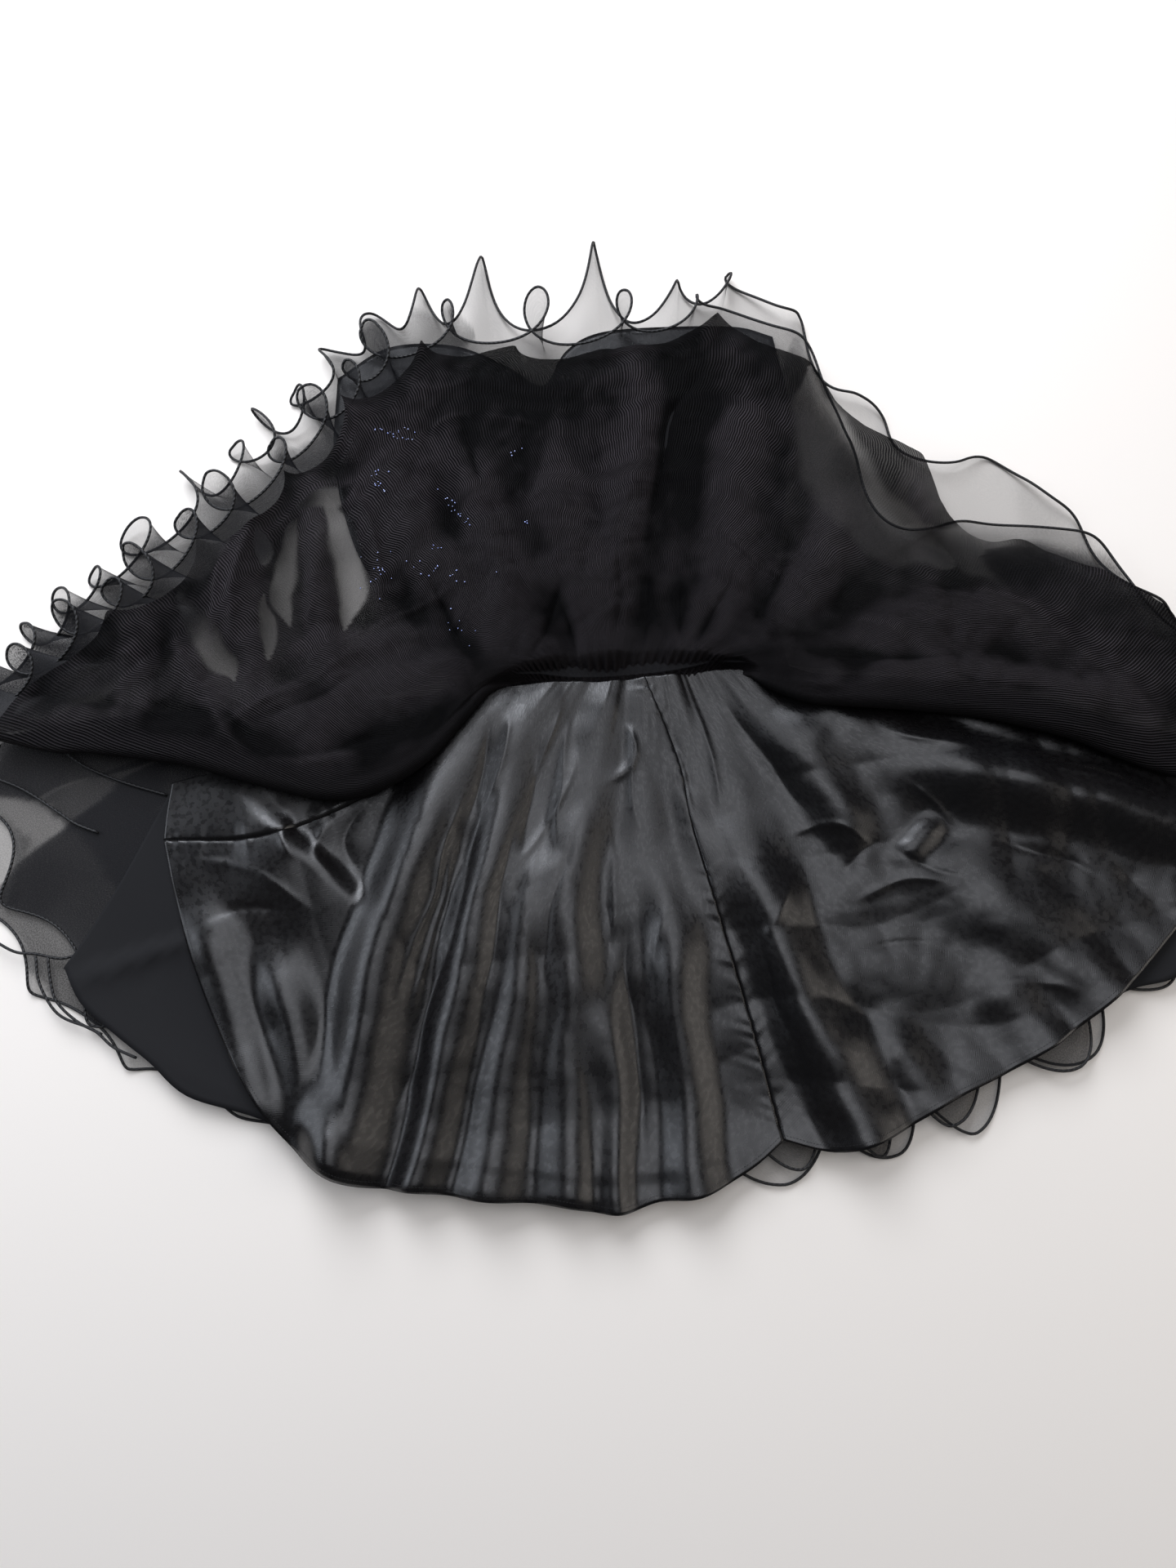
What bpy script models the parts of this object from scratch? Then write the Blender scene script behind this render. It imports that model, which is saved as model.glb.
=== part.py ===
"""Strapless mini dress lying on its back, its net overskirt spread round the waist.

Lengths are in millimetres until the meshes are made, which are in metres. The waist seam's
middle is the drawing origin: X to the right, Y towards the neckline, Z up from the table.
"""
import bmesh
import bpy
import numpy as np

MM = 0.001

# Cloth
NET_WALL = 1.0
SATIN_WALL = 1.2
BODICE_WALL = 2.0
SEAM_GAP = 0.4
LAYER_STEP = 4.4

# Heights of the middle of each cloth where it lies flat
BACK_OUTER_Z = 0.5 * NET_WALL
BACK_INNER_Z = BACK_OUTER_Z + 1.9
SATIN_BACK_Z = BACK_INNER_Z + 2.0
SATIN_FRONT_RISE = 2.7
BODICE_BACK_Z = 0.5 * BODICE_WALL
BODICE_FRONT_Z = BODICE_BACK_Z + BODICE_WALL + 0.6
FRONT_NET_Z = 5.8
FRONT_HEM_DROP = 5.0
SATIN_CLEARANCE = 7.0

# Lines of the pattern, each row a point: x, y
WAIST = ((-165, -4), (-128, -4), (-81, 2), (-17, 4), (40, 9), (102, 15), (165, 4))
NET_WAIST = (
    (-90, 7), (-78, 7), (-52, 5), (-17, 5.5), (40, 10.5), (68, 15), (86, 19), (96, 20),
)

BODICE_LEFT = ((-165, -2), (-209, 66), (-251, 116), (-273, 167), (-288, 237), (-287, 320))
BODICE_RIGHT = ((165, 6), (152, 60), (150, 120), (162, 185), (169, 290), (155, 366))
BODICE_TOP = (
    (-287, 320), (-236, 354), (-170, 356), (-117, 334), (-79, 312), (-56, 350),
    (-20, 371), (50, 377), (118, 377), (155, 366),
)

SATIN_SIDE_LEFT = ((-165, -4), (-250, -38), (-340, -72), (-428, -97))
FLAP_SEAM = ((-138, -5), (-220, -95), (-330, -147), (-432, -152))
PUCKER_SEAM = ((21, 7), (53, -76), (65, -138), (91, -230), (116, -319), (142, -424))
SATIN_SIDE_RIGHT = ((165, 2), (290, -24), (440, -70), (606, -112))
HEM_SIDE_LEFT = ((-428, -97), (-431, -124), (-432, -152))
HEM_CENTRE = (
    (-432, -152), (-416, -210), (-395, -270), (-371, -323), (-344, -370), (-312, -414),
    (-274, -446), (-236, -462), (-181, -467), (-122, -474), (-63, -478), (-6, -486),
    (30, -476), (70, -470), (110, -450), (142, -424),
)
HEM_RIGHT = (
    (142, -424), (190, -433), (242, -417), (300, -386), (349, -363), (404, -330),
    (460, -285), (518, -225), (570, -167), (606, -112),
)

SATIN_BACK_LEFT = ((-165, -4.6), (-280, -60), (-390, -104), (-440, -130))
SATIN_BACK_RIGHT = ((165, 3.4), (290, -30), (440, -78), (600, -120))
HEM_SATIN_BACK = (
    (-440, -130), (-472, -190), (-512, -274), (-495, -304), (-463, -332), (-431, -356),
    (-396, -385), (-340, -402), (-250, -430), (-120, -446), (0, -452), (140, -414),
    (260, -392), (360, -345), (459, -293), (514, -274), (572, -200), (600, -120),
)

NET_BACK_LEFT = ((-165, -8), (-330, -38), (-500, -58), (-634, -72))
NET_BACK_RIGHT = ((165, -2), (330, -34), (500, -64), (648, -82))
HEM_BACK_OUTER = (
    (-634, -72), (-640, -140), (-622, -203), (-572, -253), (-520, -312), (-462, -348),
    (-380, -395), (-250, -446), (-120, -466), (0, -474), (129, -462), (240, -440),
    (330, -405), (402, -363), (470, -318), (535, -255), (594, -190), (636, -130), (648, -82),
)
HEM_BACK_INNER = (
    (-625, -74), (-612, -150), (-580, -205), (-530, -262), (-470, -318), (-420, -352),
    (-350, -386), (-240, -424), (-120, -444), (0, -452), (120, -440), (230, -418),
    (318, -388), (400, -345), (470, -292), (530, -232), (590, -165), (636, -84),
)

FOLD_LEFT = (
    (-97, 2), (-114, -2), (-138, -26), (-176, -74), (-220, -106), (-267, -118), (-322, -108),
    (-377, -93), (-429, -80), (-504, -70), (-560, -70),
)
FOLD_RIGHT = (
    (102, 15), (117, 10), (137, -8), (176, -24), (227, -29), (290, -33), (345, -40), (415, -57),
    (461, -73), (499, -86), (560, -94),
)
HEM_FRONT_OUTER = (
    (-638, -50), (-622, 5), (-563, 75), (-500, 130), (-435, 200), (-370, 255),
    (-310, 325), (-255, 382), (-180, 405), (-90, 402), (0, 408), (95, 412), (168, 378),
    (225, 318), (320, 242), (430, 195), (545, 125), (620, 60), (648, -10), (644, -60),
)
HEM_FRONT_MIDDLE = (
    (-622, -52), (-598, -5), (-545, 50), (-480, 105), (-415, 170), (-350, 230),
    (-290, 300), (-235, 358), (-160, 382), (-75, 376), (10, 384), (90, 392), (140, 350),
    (190, 308), (245, 225), (320, 180), (430, 158), (520, 98), (596, 42), (624, -20),
    (622, -62),
)
HEM_FRONT_INNER = (
    (-596, -52), (-566, -12), (-520, 34), (-455, 84), (-390, 140), (-325, 200),
    (-275, 265), (-225, 322), (-150, 350), (-70, 344), (10, 352), (90, 366), (136, 330),
    (172, 265), (220, 185), (300, 135), (400, 105), (500, 68), (572, 14), (602, -64),
)

NET_SIDE_LEFT = ((-86, 7), (-150, 4), (-250, -20), (-390, -36), (-530, -46))
NET_SIDE_RIGHT = ((90, 19), (150, 14), (260, 2), (400, -16), (550, -46))

# Upper edge of everything that lies under the front net: x, y
SIDE_LINE = (
    (-700, -76), (-640, -68), (-500, -50), (-420, -66), (-330, -34), (-240, -16), (-165, 0),
    (165, 8), (330, -16), (500, -48), (650, -78), (700, -80),
)

# Folds of the satin front. Each row: start x, y, middle x, y, end x, y, height,
# half width on the left of the line, half width on its right
SATIN_FOLDS = {
    "flap_edge": (-341, -100, -282, -172, -226, -240, 15, 14, 80),
    "flap_soft": (-400, -190, -372, -280, -330, -390, 6, 40, 40),
    "big_roll": (-133, -30, -200, -190, -258, -440, 20, 30, 40),
    "second_roll": (-84, -20, -130, -180, -200, -455, 14, 34, 22),
    "centre_left": (-49, -99, -86, -222, -121, -470, 12, 34, 30),
    "centre": (-18, -28, -45, -177, -52, -472, 12, 30, 30),
    "hem_pleat_left": (-20, -240, -13, -377, -4, -482, 9, 16, 20),
    "hem_pleat_right": (35, -150, 52, -319, 64, -470, 14, 34, 26),
    "seam_ridge": (24, -12, 78, -180, 118, -330, 4, 16, 16),
    "strong_ridge": (82, -103, 147, -274, 212, -425, 16, 44, 28),
    "low_right": (220, -311, 262, -372, 306, -384, 7, 30, 30),
    "top_right": (223, -40, 352, -92, 570, -140, 18, 36, 40),
    "inner_right": (123, -4, 172, -80, 217, -103, 11, 24, 24),
    "middle_right": (316, -199, 389, -237, 470, -300, 11, 40, 40),
    "short_crease": (312, -123, 281, -146, 256, -177, 5, 14, 14),
}

# Folds of the turned-up net, columns as above
NET_FOLDS = {
    "left_outer": (-254, 282, -200, 150, -100, 26, 10, 40, 40),
    "left_inner": (-164, 282, -129, 153, -76, 24, 13, 36, 36),
    "middle": (-58, 300, -57, 161, -22, 26, 10, 36, 36),
    "right_inner": (33, 353, 7, 195, -8, 34, 12, 36, 40),
    "right_outer": (130, 340, 108, 178, 66, 34, 14, 44, 40),
    "right_side": (215, 240, 192, 130, 140, 46, 12, 40, 30),
    "right_far": (470, 40, 300, 60, 190, 20, 10, 40, 40),
    "left_window": (-292, 230, -296, 111, -270, 10, 12, 26, 26),
    "left_far": (-349, 230, -368, 111, -350, 10, 13, 30, 30),
    "left_bulge": (-120, 30, -230, -24, -380, -40, 10, 40, 50),
}

# Rays that every net layer shares from waist to hem
RAYS = 56
ROOT_CROWD = 0.8

# Waist gathers
GATHER_COUNT = 14
GATHERS_FROM = 2.5
GATHERS_TO = 11.5
SIDE_SHARE = GATHERS_FROM / GATHER_COUNT
GATHER_HEIGHT = 2.4
GATHER_SHARE = 0.24

# Rolled sides of the turned-up net: share of the side line, roll radius
ROLL_RADIUS = ((0.0, 4.0), (0.12, 8.0), (0.35, 13.0), (0.7, 12.0), (0.9, 6.0), (1.0, 4.5))
ROLL_RETURN = 24.0
ROLL_BLEND = 95.0
SIDE_FADE = 60.0

# Fluted hems. Each row: share of the hem, waves so far, loop share, reach, height
WAVES_FRONT_OUTER = (
    (0.00, 0.0, 0.12, 6, 8), (0.05, 1.5, 0.15, 10, 14), (0.36, 11.5, 0.16, 12, 15),
    (0.44, 12.5, 0.16, 26, 13), (0.53, 13.5, 0.16, 30, 13), (0.60, 14.5, 0.18, 15, 12),
    (0.66, 15.5, 0.12, 10, 11), (0.95, 18.7, 0.12, 10, 9), (1.00, 19.2, 0.08, 5, 6),
)
WAVES_FRONT_MIDDLE = (
    (0.00, 0.3, 0.12, 5, 6), (0.06, 1.3, 0.14, 9, 12), (0.36, 9.3, 0.15, 11, 12),
    (0.60, 12.3, 0.16, 14, 10), (0.95, 15.4, 0.12, 9, 8), (1.00, 15.8, 0.08, 5, 5),
)
WAVES_FRONT_INNER = (
    (0.00, 0.0, 0.00, 2, 2), (0.08, 1.0, 0.10, 5, 5), (0.36, 6.5, 0.12, 6, 6),
    (0.60, 10.0, 0.12, 7, 6), (0.92, 13.0, 0.08, 6, 5), (1.00, 13.5, 0.00, 2, 2),
)
WAVES_BACK_OUTER = (
    (0.00, 0.2, 0.08, 5, 4), (0.10, 1.2, 0.12, 9, 5), (0.55, 6.2, 0.14, 10, 5),
    (0.90, 11.2, 0.15, 14, 6), (1.00, 12.0, 0.08, 5, 4),
)
WAVES_BACK_INNER = (
    (0.00, 0.0, 0.08, 5, 3.5), (0.10, 0.9, 0.12, 8, 4.5), (0.55, 5.4, 0.13, 9, 4.5),
    (0.90, 9.8, 0.14, 12, 5), (1.00, 10.5, 0.08, 5, 3.5),
)
FLUTE_DEPTH_FRONT = 92.0
FLUTE_DEPTH_INNER = 60.0
FLUTE_DEPTH_BACK = 80.0


def curve(rows):
    """Closely spaced points on a smooth line through the rows."""
    p = np.array(rows, float)
    ends = np.vstack([2 * p[0] - p[1], p, 2 * p[-1] - p[-2]])
    t = np.linspace(0.0, 1.0, 10, endpoint=False)[:, None]
    parts = []
    for i in range(len(p) - 1):
        a, b, c, d = ends[i:i + 4]
        parts.append(
            0.5 * (2 * b + (c - a) * t + (2 * a - 5 * b + 4 * c - d) * t ** 2
                   + (3 * b - a - 3 * c + d) * t ** 3)
        )
    parts.append(p[-1:])
    return np.vstack(parts)


def lengths(line):
    """Share of the whole length at each point of a line."""
    step = np.hypot(*np.diff(line, axis=0).T)
    total = np.concatenate([[0.0], np.cumsum(step)])
    return total / total[-1], total[-1]


def along(line, share):
    """Points at the given shares of a line's length."""
    at, _ = lengths(line)
    share = np.asarray(share, float)
    return np.stack([np.interp(share, at, line[:, k]) for k in (0, 1)], axis=-1)


def normals(line, side):
    """Unit normals of a line, to its left for side 1 and to its right for side -1."""
    d = np.gradient(line, axis=0)
    d /= np.hypot(d[:, 0], d[:, 1])[:, None]
    return side * np.stack([-d[:, 1], d[:, 0]], axis=-1)


def nearest(line, x, y, side):
    """Distance to a line, counted positive on the given side, and the share where it falls."""
    at, _ = lengths(line)
    norm = normals(line, side)
    dx = x[..., None] - line[:, 0]
    dy = y[..., None] - line[:, 1]
    k = np.argmin(dx * dx + dy * dy, axis=-1)
    px = x - line[k, 0]
    py = y - line[k, 1]
    sign = np.where(px * norm[k, 0] + py * norm[k, 1] >= 0, 1.0, -1.0)
    return sign * np.hypot(px, py), at[k]


def smooth(t):
    t = np.clip(t, 0.0, 1.0)
    return t * t * (3 - 2 * t)


def higher(a, b, soft=3.0):
    return 0.5 * (a + b + np.sqrt((a - b) ** 2 + soft * soft))


def folds(table, x, y):
    """Height of soft ridges laid along short bent lines."""
    total = np.zeros_like(x)
    t = np.linspace(0.0, 1.0, 25)
    for x0, y0, x1, y1, x2, y2, height, left, right in table.values():
        cx = 2 * x1 - 0.5 * (x0 + x2)
        cy = 2 * y1 - 0.5 * (y0 + y2)
        line = np.stack(
            [(1 - t) ** 2 * x0 + 2 * t * (1 - t) * cx + t * t * x2,
             (1 - t) ** 2 * y0 + 2 * t * (1 - t) * cy + t * t * y2], axis=-1)
        off, share = nearest(line, x, y, 1)
        width = np.where(off > 0, left, right)
        profile = 0.5 + 0.5 * np.cos(np.pi * np.clip(np.abs(off) / width, 0, 1))
        ends = smooth(share / 0.2 + 0.25)
        total += height * profile * ends
    return total


def inside_bodice(x, y):
    """One over the bodice, falling to nothing 30 mm outside it."""
    ring = np.vstack([curve(BODICE_LEFT), curve(BODICE_TOP), curve(BODICE_RIGHT)[::-1]])
    ring = np.vstack([ring, ring[:1]])[::2]
    ring = np.vstack([ring, ring[:1]])
    dx = x[..., None] - ring[:, 0]
    dy = y[..., None] - ring[:, 1]
    far = np.sqrt(np.min(dx * dx + dy * dy, axis=-1))
    x0, y0 = ring[:-1, 0], ring[:-1, 1]
    x1, y1 = ring[1:, 0], ring[1:, 1]
    yy = y[..., None]
    crossing = (y0 > yy) != (y1 > yy)
    rise = np.where(np.abs(y1 - y0) < 1e-9, 1e-9, y1 - y0)
    at = (x1 - x0) * (yy - y0) / rise + x0
    inner = np.sum(crossing & (x[..., None] < at), axis=-1) % 2 == 1
    return np.where(inner, 1.0, smooth(1 - (far - 12.0) / 30.0))


class Hem:
    """A fluted hem line and the wave shapes along it."""

    def __init__(self, rows, waves, depth, side):
        self.line = curve(rows)
        self.side = side
        self.depth = depth
        self.waves = np.array(waves, float)
        self.length = lengths(self.line)[1]

    def column(self, share, k):
        return np.interp(share, self.waves[:, 0], self.waves[:, k])

    def columns(self, per_wave, widest):
        """Shares of the hem where columns stand: so many a wave, and never too far apart."""
        share = np.linspace(0, 1, 1001)
        waves = per_wave * np.diff(self.column(share, 1))
        steps = np.maximum(waves, self.length / widest / 1000)
        total = np.concatenate([[0.0], np.cumsum(steps)])
        count = int(round(total[-1]))
        at = np.interp(np.linspace(0, total[-1], count + 1), total, share)
        rays = np.arange(RAYS + 1) / RAYS
        at[np.argmin(np.abs(at[:, None] - rays), axis=0)] = rays
        return at

    def room(self, x, y):
        """Height that the flutes fill at a place."""
        off, share = nearest(self.line, x, y, self.side)
        fade = smooth(1 - (off - 30.0) / 30.0)
        return (self.column(share, 4) + 0.5) * self.growth(-off) * fade

    def growth(self, inward):
        return np.clip(1 - inward / self.depth, 0.0, 1.0) ** 2

    def flute(self, share, inward):
        """Shift along x and y and the lift of the waves."""
        wave = 2 * np.pi * self.column(share, 1)
        step = 0.002
        rate = (self.column(share + step, 1) - self.column(share - step, 1)) / (2 * step)
        wave_length = self.length / np.maximum(rate, 1.0)
        p = along(self.line, np.clip(share + step, 0, 1))
        q = along(self.line, np.clip(share - step, 0, 1))
        d = p - q
        d /= np.maximum(np.hypot(d[..., 0], d[..., 1]), 1e-9)[..., None]
        out = self.side * np.stack([-d[..., 1], d[..., 0]], axis=-1)
        grow = self.growth(inward)
        swing = self.column(share, 2) * wave_length * np.sin(wave) * grow
        reach = -self.column(share, 3) * np.cos(wave) * grow
        shift = d * swing[..., None] + out * reach[..., None]
        lift = 0.5 * self.column(share, 4) * (1 + np.sin(wave)) * grow
        return shift[..., 0], shift[..., 1], lift


FRONT_OUTER = Hem(HEM_FRONT_OUTER, WAVES_FRONT_OUTER, FLUTE_DEPTH_FRONT, 1)
FRONT_MIDDLE = Hem(HEM_FRONT_MIDDLE, WAVES_FRONT_MIDDLE, FLUTE_DEPTH_FRONT, 1)
FRONT_INNER = Hem(HEM_FRONT_INNER, WAVES_FRONT_INNER, FLUTE_DEPTH_INNER, 1)
BACK_OUTER = Hem(HEM_BACK_OUTER, WAVES_BACK_OUTER, FLUTE_DEPTH_BACK, -1)
BACK_INNER = Hem(HEM_BACK_INNER, WAVES_BACK_INNER, FLUTE_DEPTH_BACK, -1)


def back_inner_height(x, y):
    return BACK_INNER_Z + BACK_OUTER.room(x, y)


def satin_back_height(x, y):
    return SATIN_BACK_Z + BACK_OUTER.room(x, y) + BACK_INNER.room(x, y)


def satin_front_height(x, y):
    rise = satin_back_height(x, y) + SATIN_FRONT_RISE
    return rise + folds(SATIN_FOLDS, x, y)


def satin_below(x, y):
    """Height that clears the satin, and how far it reaches under the front net."""
    side = np.array(SIDE_LINE, float)
    above = y - np.interp(x, side[:, 0], side[:, 1])
    away = smooth(np.hypot(np.maximum(np.abs(x) - 80, 0), y) / 80.0)
    clear = satin_back_height(x, y) + SATIN_FRONT_RISE + 2.4 + SATIN_CLEARANCE * away
    return clear, smooth(1 - (above - 6.0) / SIDE_FADE)


def return_height(x, y):
    """Middle of the rolled-under edge of the top net."""
    clear, under = satin_below(x, y)
    return under * clear + (1 - under) * FRONT_NET_Z


def front_net_height(x, y):
    """Middle of the lowest front net layer, without its flutes."""
    clear, under = satin_below(x, y)
    edge, _ = nearest(FRONT_OUTER.line, x, y, 1)
    drop = FRONT_OUTER.growth(-edge) * (1 - inside_bodice(x, y))
    base = FRONT_NET_Z - FRONT_HEM_DROP * drop
    base = higher(base, under * clear, 2.0)
    roll = np.zeros_like(x)
    radii = np.array(ROLL_RADIUS)
    for rows, way in ((FOLD_LEFT, -1), (FOLD_RIGHT, 1)):
        off, share = nearest(curve(rows), x, y, way)
        near = smooth(1 - np.abs(off) / ROLL_BLEND)
        size = 2 * np.interp(share, radii[:, 0], radii[:, 1]) - 3.0
        roll = np.maximum(roll, near * size)
    return base + roll


def top_net_height(x, y):
    """Middle of the top front net layer, with its folds."""
    edge, _ = nearest(FRONT_OUTER.line, x, y, 1)
    relief = folds(NET_FOLDS, x, y) * smooth(-edge / 90.0 + 0.1)
    rise = 2 * LAYER_STEP + FRONT_OUTER.room(x, y) + FRONT_MIDDLE.room(x, y)
    return front_net_height(x, y) + rise + relief


def patch(root, hem, left, right, u, v, crowd=0.0):
    """Plan position of the points u across and v down a four-sided cloth.

    With crowd above nothing, the rays near both sides leave the root close to its ends.
    """
    r = along(root, u - crowd * np.sin(2 * np.pi * u) / (2 * np.pi))
    h = along(hem, u)
    a, b = along(left, v), along(right, v)
    u, v = np.asarray(u)[..., None], np.asarray(v)[..., None]
    plain = (1 - v) * r + v * h
    plain = plain + (1 - u) ** 3 * (a - ((1 - v) * left[0] + v * left[-1]))
    return plain + u ** 3 * (b - ((1 - v) * right[0] + v * right[-1]))


def joined(bm, top, low):
    """Faces between two rows of (column, vertex) that may skip different columns."""
    i = j = 0
    while i + 1 < len(top) or j + 1 < len(low):
        above = top[i][0] + top[i + 1][0] if i + 1 < len(top) else np.inf
        below = low[j][0] + low[j + 1][0] if j + 1 < len(low) else np.inf
        same = above == below and top[i][0] == low[j][0]
        if same:
            bm.faces.new((top[i][1], low[j][1], low[j + 1][1], top[i + 1][1]))
        elif below <= above:
            bm.faces.new((top[i][1], low[j][1], low[j + 1][1]))
        else:
            bm.faces.new((top[i][1], low[j][1], top[i + 1][1]))
        i += same or above < below
        j += same or below <= above


def closed_sheet(name, rows, wall, colour, roughness):
    """A cloth of even wall; each row holds its column numbers and its points."""
    bm = bmesh.new()
    made = [[(c, bm.verts.new(p * MM)) for c, p in zip(*row)] for row in rows]
    for top, low in zip(made[:-1], made[1:]):
        joined(bm, top, low)
    bmesh.ops.recalc_face_normals(bm, faces=bm.faces)
    mesh = bpy.data.meshes.new(name)
    bm.to_mesh(mesh)
    bm.free()
    body = bpy.data.objects.new(name, mesh)
    bpy.context.scene.collection.objects.link(body)
    solidify = body.modifiers.new("wall", "SOLIDIFY")
    solidify.thickness = wall * MM
    solidify.offset = 0.0
    solidify.use_even_offset = False
    material = bpy.data.materials.new(name)
    material.use_nodes = True
    shader = material.node_tree.nodes["Principled BSDF"]
    shader.inputs["Base Color"].default_value = (*colour, 1.0)
    shader.inputs["Roughness"].default_value = roughness
    mesh.materials.append(material)
    return body


def rows_of(x, y, z, skips=None):
    """Rows for a cloth; a row may keep only every so many of its columns."""
    grid = np.stack([x, y, z], axis=-1)
    rows = []
    for k, line in enumerate(grid):
        keep = np.ones(len(line), bool) if skips is None else skips[k]
        rows.append((np.flatnonzero(keep), line[keep]))
    return rows


def on_rays(u, step, side_step=None):
    """Marks the columns on every so many rays; step 0 keeps all; the sides may differ."""
    if step == 0:
        return np.ones(len(u), bool)
    ray = np.round(u * RAYS)
    exact = np.abs(u * RAYS - ray) < 1e-6
    side = np.minimum(u, 1 - u) < SIDE_SHARE + 1e-6
    step = np.where(side, side_step or step, step)
    ray = np.where(u < 0.5, ray, RAYS - ray)
    return exact & (ray % step == 0)


def pulled_in(line, side, amount):
    """A line moved to one side, by one amount or by an amount for each point."""
    amount = np.broadcast_to(np.asarray(amount, float), (len(line),))
    return line + normals(line, side) * amount[:, None]


def plain_cloth(name, root, hem, left, right, across, down, height, wall, colour, rough,
                gaps=()):
    u, v = np.meshgrid(across, down)
    x, y = np.moveaxis(patch(root, hem, left, right, u, v), -1, 0)
    column = np.arange(len(across))
    last = len(across) - 1
    gaps = tuple(gaps) + (1,) * (len(down) - len(gaps))
    skips = [(column % gap == 0) & (column <= last - gap) | (column == last) for gap in gaps]
    return closed_sheet(name, rows_of(x, y, height(x, y), skips), wall, colour, rough)


def fluted_points(hem, left, right, root_rows, u, down, height, crowd):
    """Plan, height, shares and side lines of a net layer with every wave of its hem."""
    left = curve(tuple(left) + (tuple(hem.line[0]),))
    right = curve(tuple(right) + (tuple(hem.line[-1]),))
    root = curve((tuple(left[0]),) + tuple(root_rows) + (tuple(right[0]),))
    u, v = np.meshgrid(u, down)
    x, y = np.moveaxis(patch(root, hem.line, left, right, u, v, crowd), -1, 0)
    off, _ = nearest(hem.line, x, y, hem.side)
    sx, sy, lift = hem.flute(u, np.maximum(-off, 0.0))
    x, y = x + sx, y + sy
    return x, y, height(x, y) + lift, u, left, right


def fluted_cloth(name, hem, root_rows, left, right, columns, down, gaps, height, wall,
                 colour):
    """A net layer: coarse near the waist, with every wave of the hem drawn lower down."""
    u = hem.columns(*columns)
    crowd = ROOT_CROWD if hem.side > 0 else 0.0
    x, y, z, _, _, _ = fluted_points(hem, left, right, root_rows, u, down, height, crowd)
    skips = [on_rays(u, *gap) for gap in gaps]
    return closed_sheet(name, rows_of(x, y, z, skips), wall, colour, 0.8)


def inset_fold(rows, side, extra):
    """The side line of a turned-up layer, inside the roll of the top layer."""
    line = curve(rows)
    radii = np.array(ROLL_RADIUS)
    share, _ = lengths(line)
    inset = np.interp(share, radii[:, 0], radii[:, 1]) + extra
    moved = pulled_in(line, side, inset)
    return [tuple(p) for p in moved[::6]]


def rolled_net(name, hem, root_rows, columns, down, gaps, height, wall, colour):
    """The top net layer: its two sides roll down and under."""
    shares = hem.columns(*columns)
    x, y, z, u, left, right = fluted_points(
        hem, inset_fold(FOLD_LEFT, -1, 0.0), inset_fold(FOLD_RIGHT, 1, 0.0), root_rows,
        shares, down, height, ROOT_CROWD)
    fade = smooth(1 - down / GATHER_SHARE)[:, None]
    fade = fade * smooth((u * GATHER_COUNT - GATHERS_FROM) * 2)
    fade = fade * smooth((GATHERS_TO - u * GATHER_COUNT) * 2)
    z = z + GATHER_HEIGHT * fade * (0.5 - 0.5 * np.cos(2 * np.pi * GATHER_COUNT * u))
    radii = np.array(ROLL_RADIUS)
    size = np.interp(down, radii[:, 0], radii[:, 1])[:, None]
    turn = np.radians((36, 72, 108, 144, 180, 180, 180))
    back = np.array((0, 0, 0, 0, 0, 0.5, 1.0)) * ROLL_RETURN
    back = back * (1 - 0.8 * smooth((down - 0.75) / 0.25))[:, None]
    sides = []
    for line, edge, side in ((left, 0, 1), (right, -1, -1)):
        out = normals(line, side)
        share, _ = lengths(line)
        n = np.stack([np.interp(down, share, out[:, k]) for k in (0, 1)], axis=-1)
        n /= np.hypot(n[:, 0], n[:, 1])[:, None]
        move = size * np.sin(turn) - back
        px = x[:, edge][:, None] + n[:, :1] * move
        py = y[:, edge][:, None] + n[:, 1:] * move
        low = return_height(px, py)
        mix = 0.5 - 0.5 * np.cos(turn)
        pz = (1 - mix) * z[:, edge][:, None] + mix * low
        sides.append((px, py, pz))
    (lx, ly, lz), (rx, ry, rz) = sides
    rolled = np.ones(len(turn), bool)
    skips = [np.concatenate([rolled, on_rays(shares, *gap), rolled]) for gap in gaps]
    x = np.hstack([lx[:, ::-1], x, rx])
    y = np.hstack([ly[:, ::-1], y, ry])
    z = np.hstack([lz[:, ::-1], z, rz])
    return closed_sheet(name, rows_of(x, y, z, skips), wall, colour, 0.85)


def bake(body):
    """Replace a cloth by its thickened mesh."""
    graph = bpy.context.evaluated_depsgraph_get()
    mesh = bpy.data.meshes.new_from_object(body.evaluated_get(graph))
    body.modifiers.clear()
    body.data = mesh


def lay_down(bodies):
    """Centre everything on the origin and stand it on the table."""
    low = np.full(3, np.inf)
    high = np.full(3, -np.inf)
    for body in bodies:
        spot = np.array([v.co[:] for v in body.data.vertices])
        low = np.minimum(low, spot.min(axis=0))
        high = np.maximum(high, spot.max(axis=0))
    move = (-(low[0] + high[0]) / 2, -(low[1] + high[1]) / 2, -low[2])
    for body in bodies:
        for v in body.data.vertices:
            v.co.x += move[0]
            v.co.y += move[1]
            v.co.z += move[2]
    print("moved by", [round(m * 1000, 3) for m in move])


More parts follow.
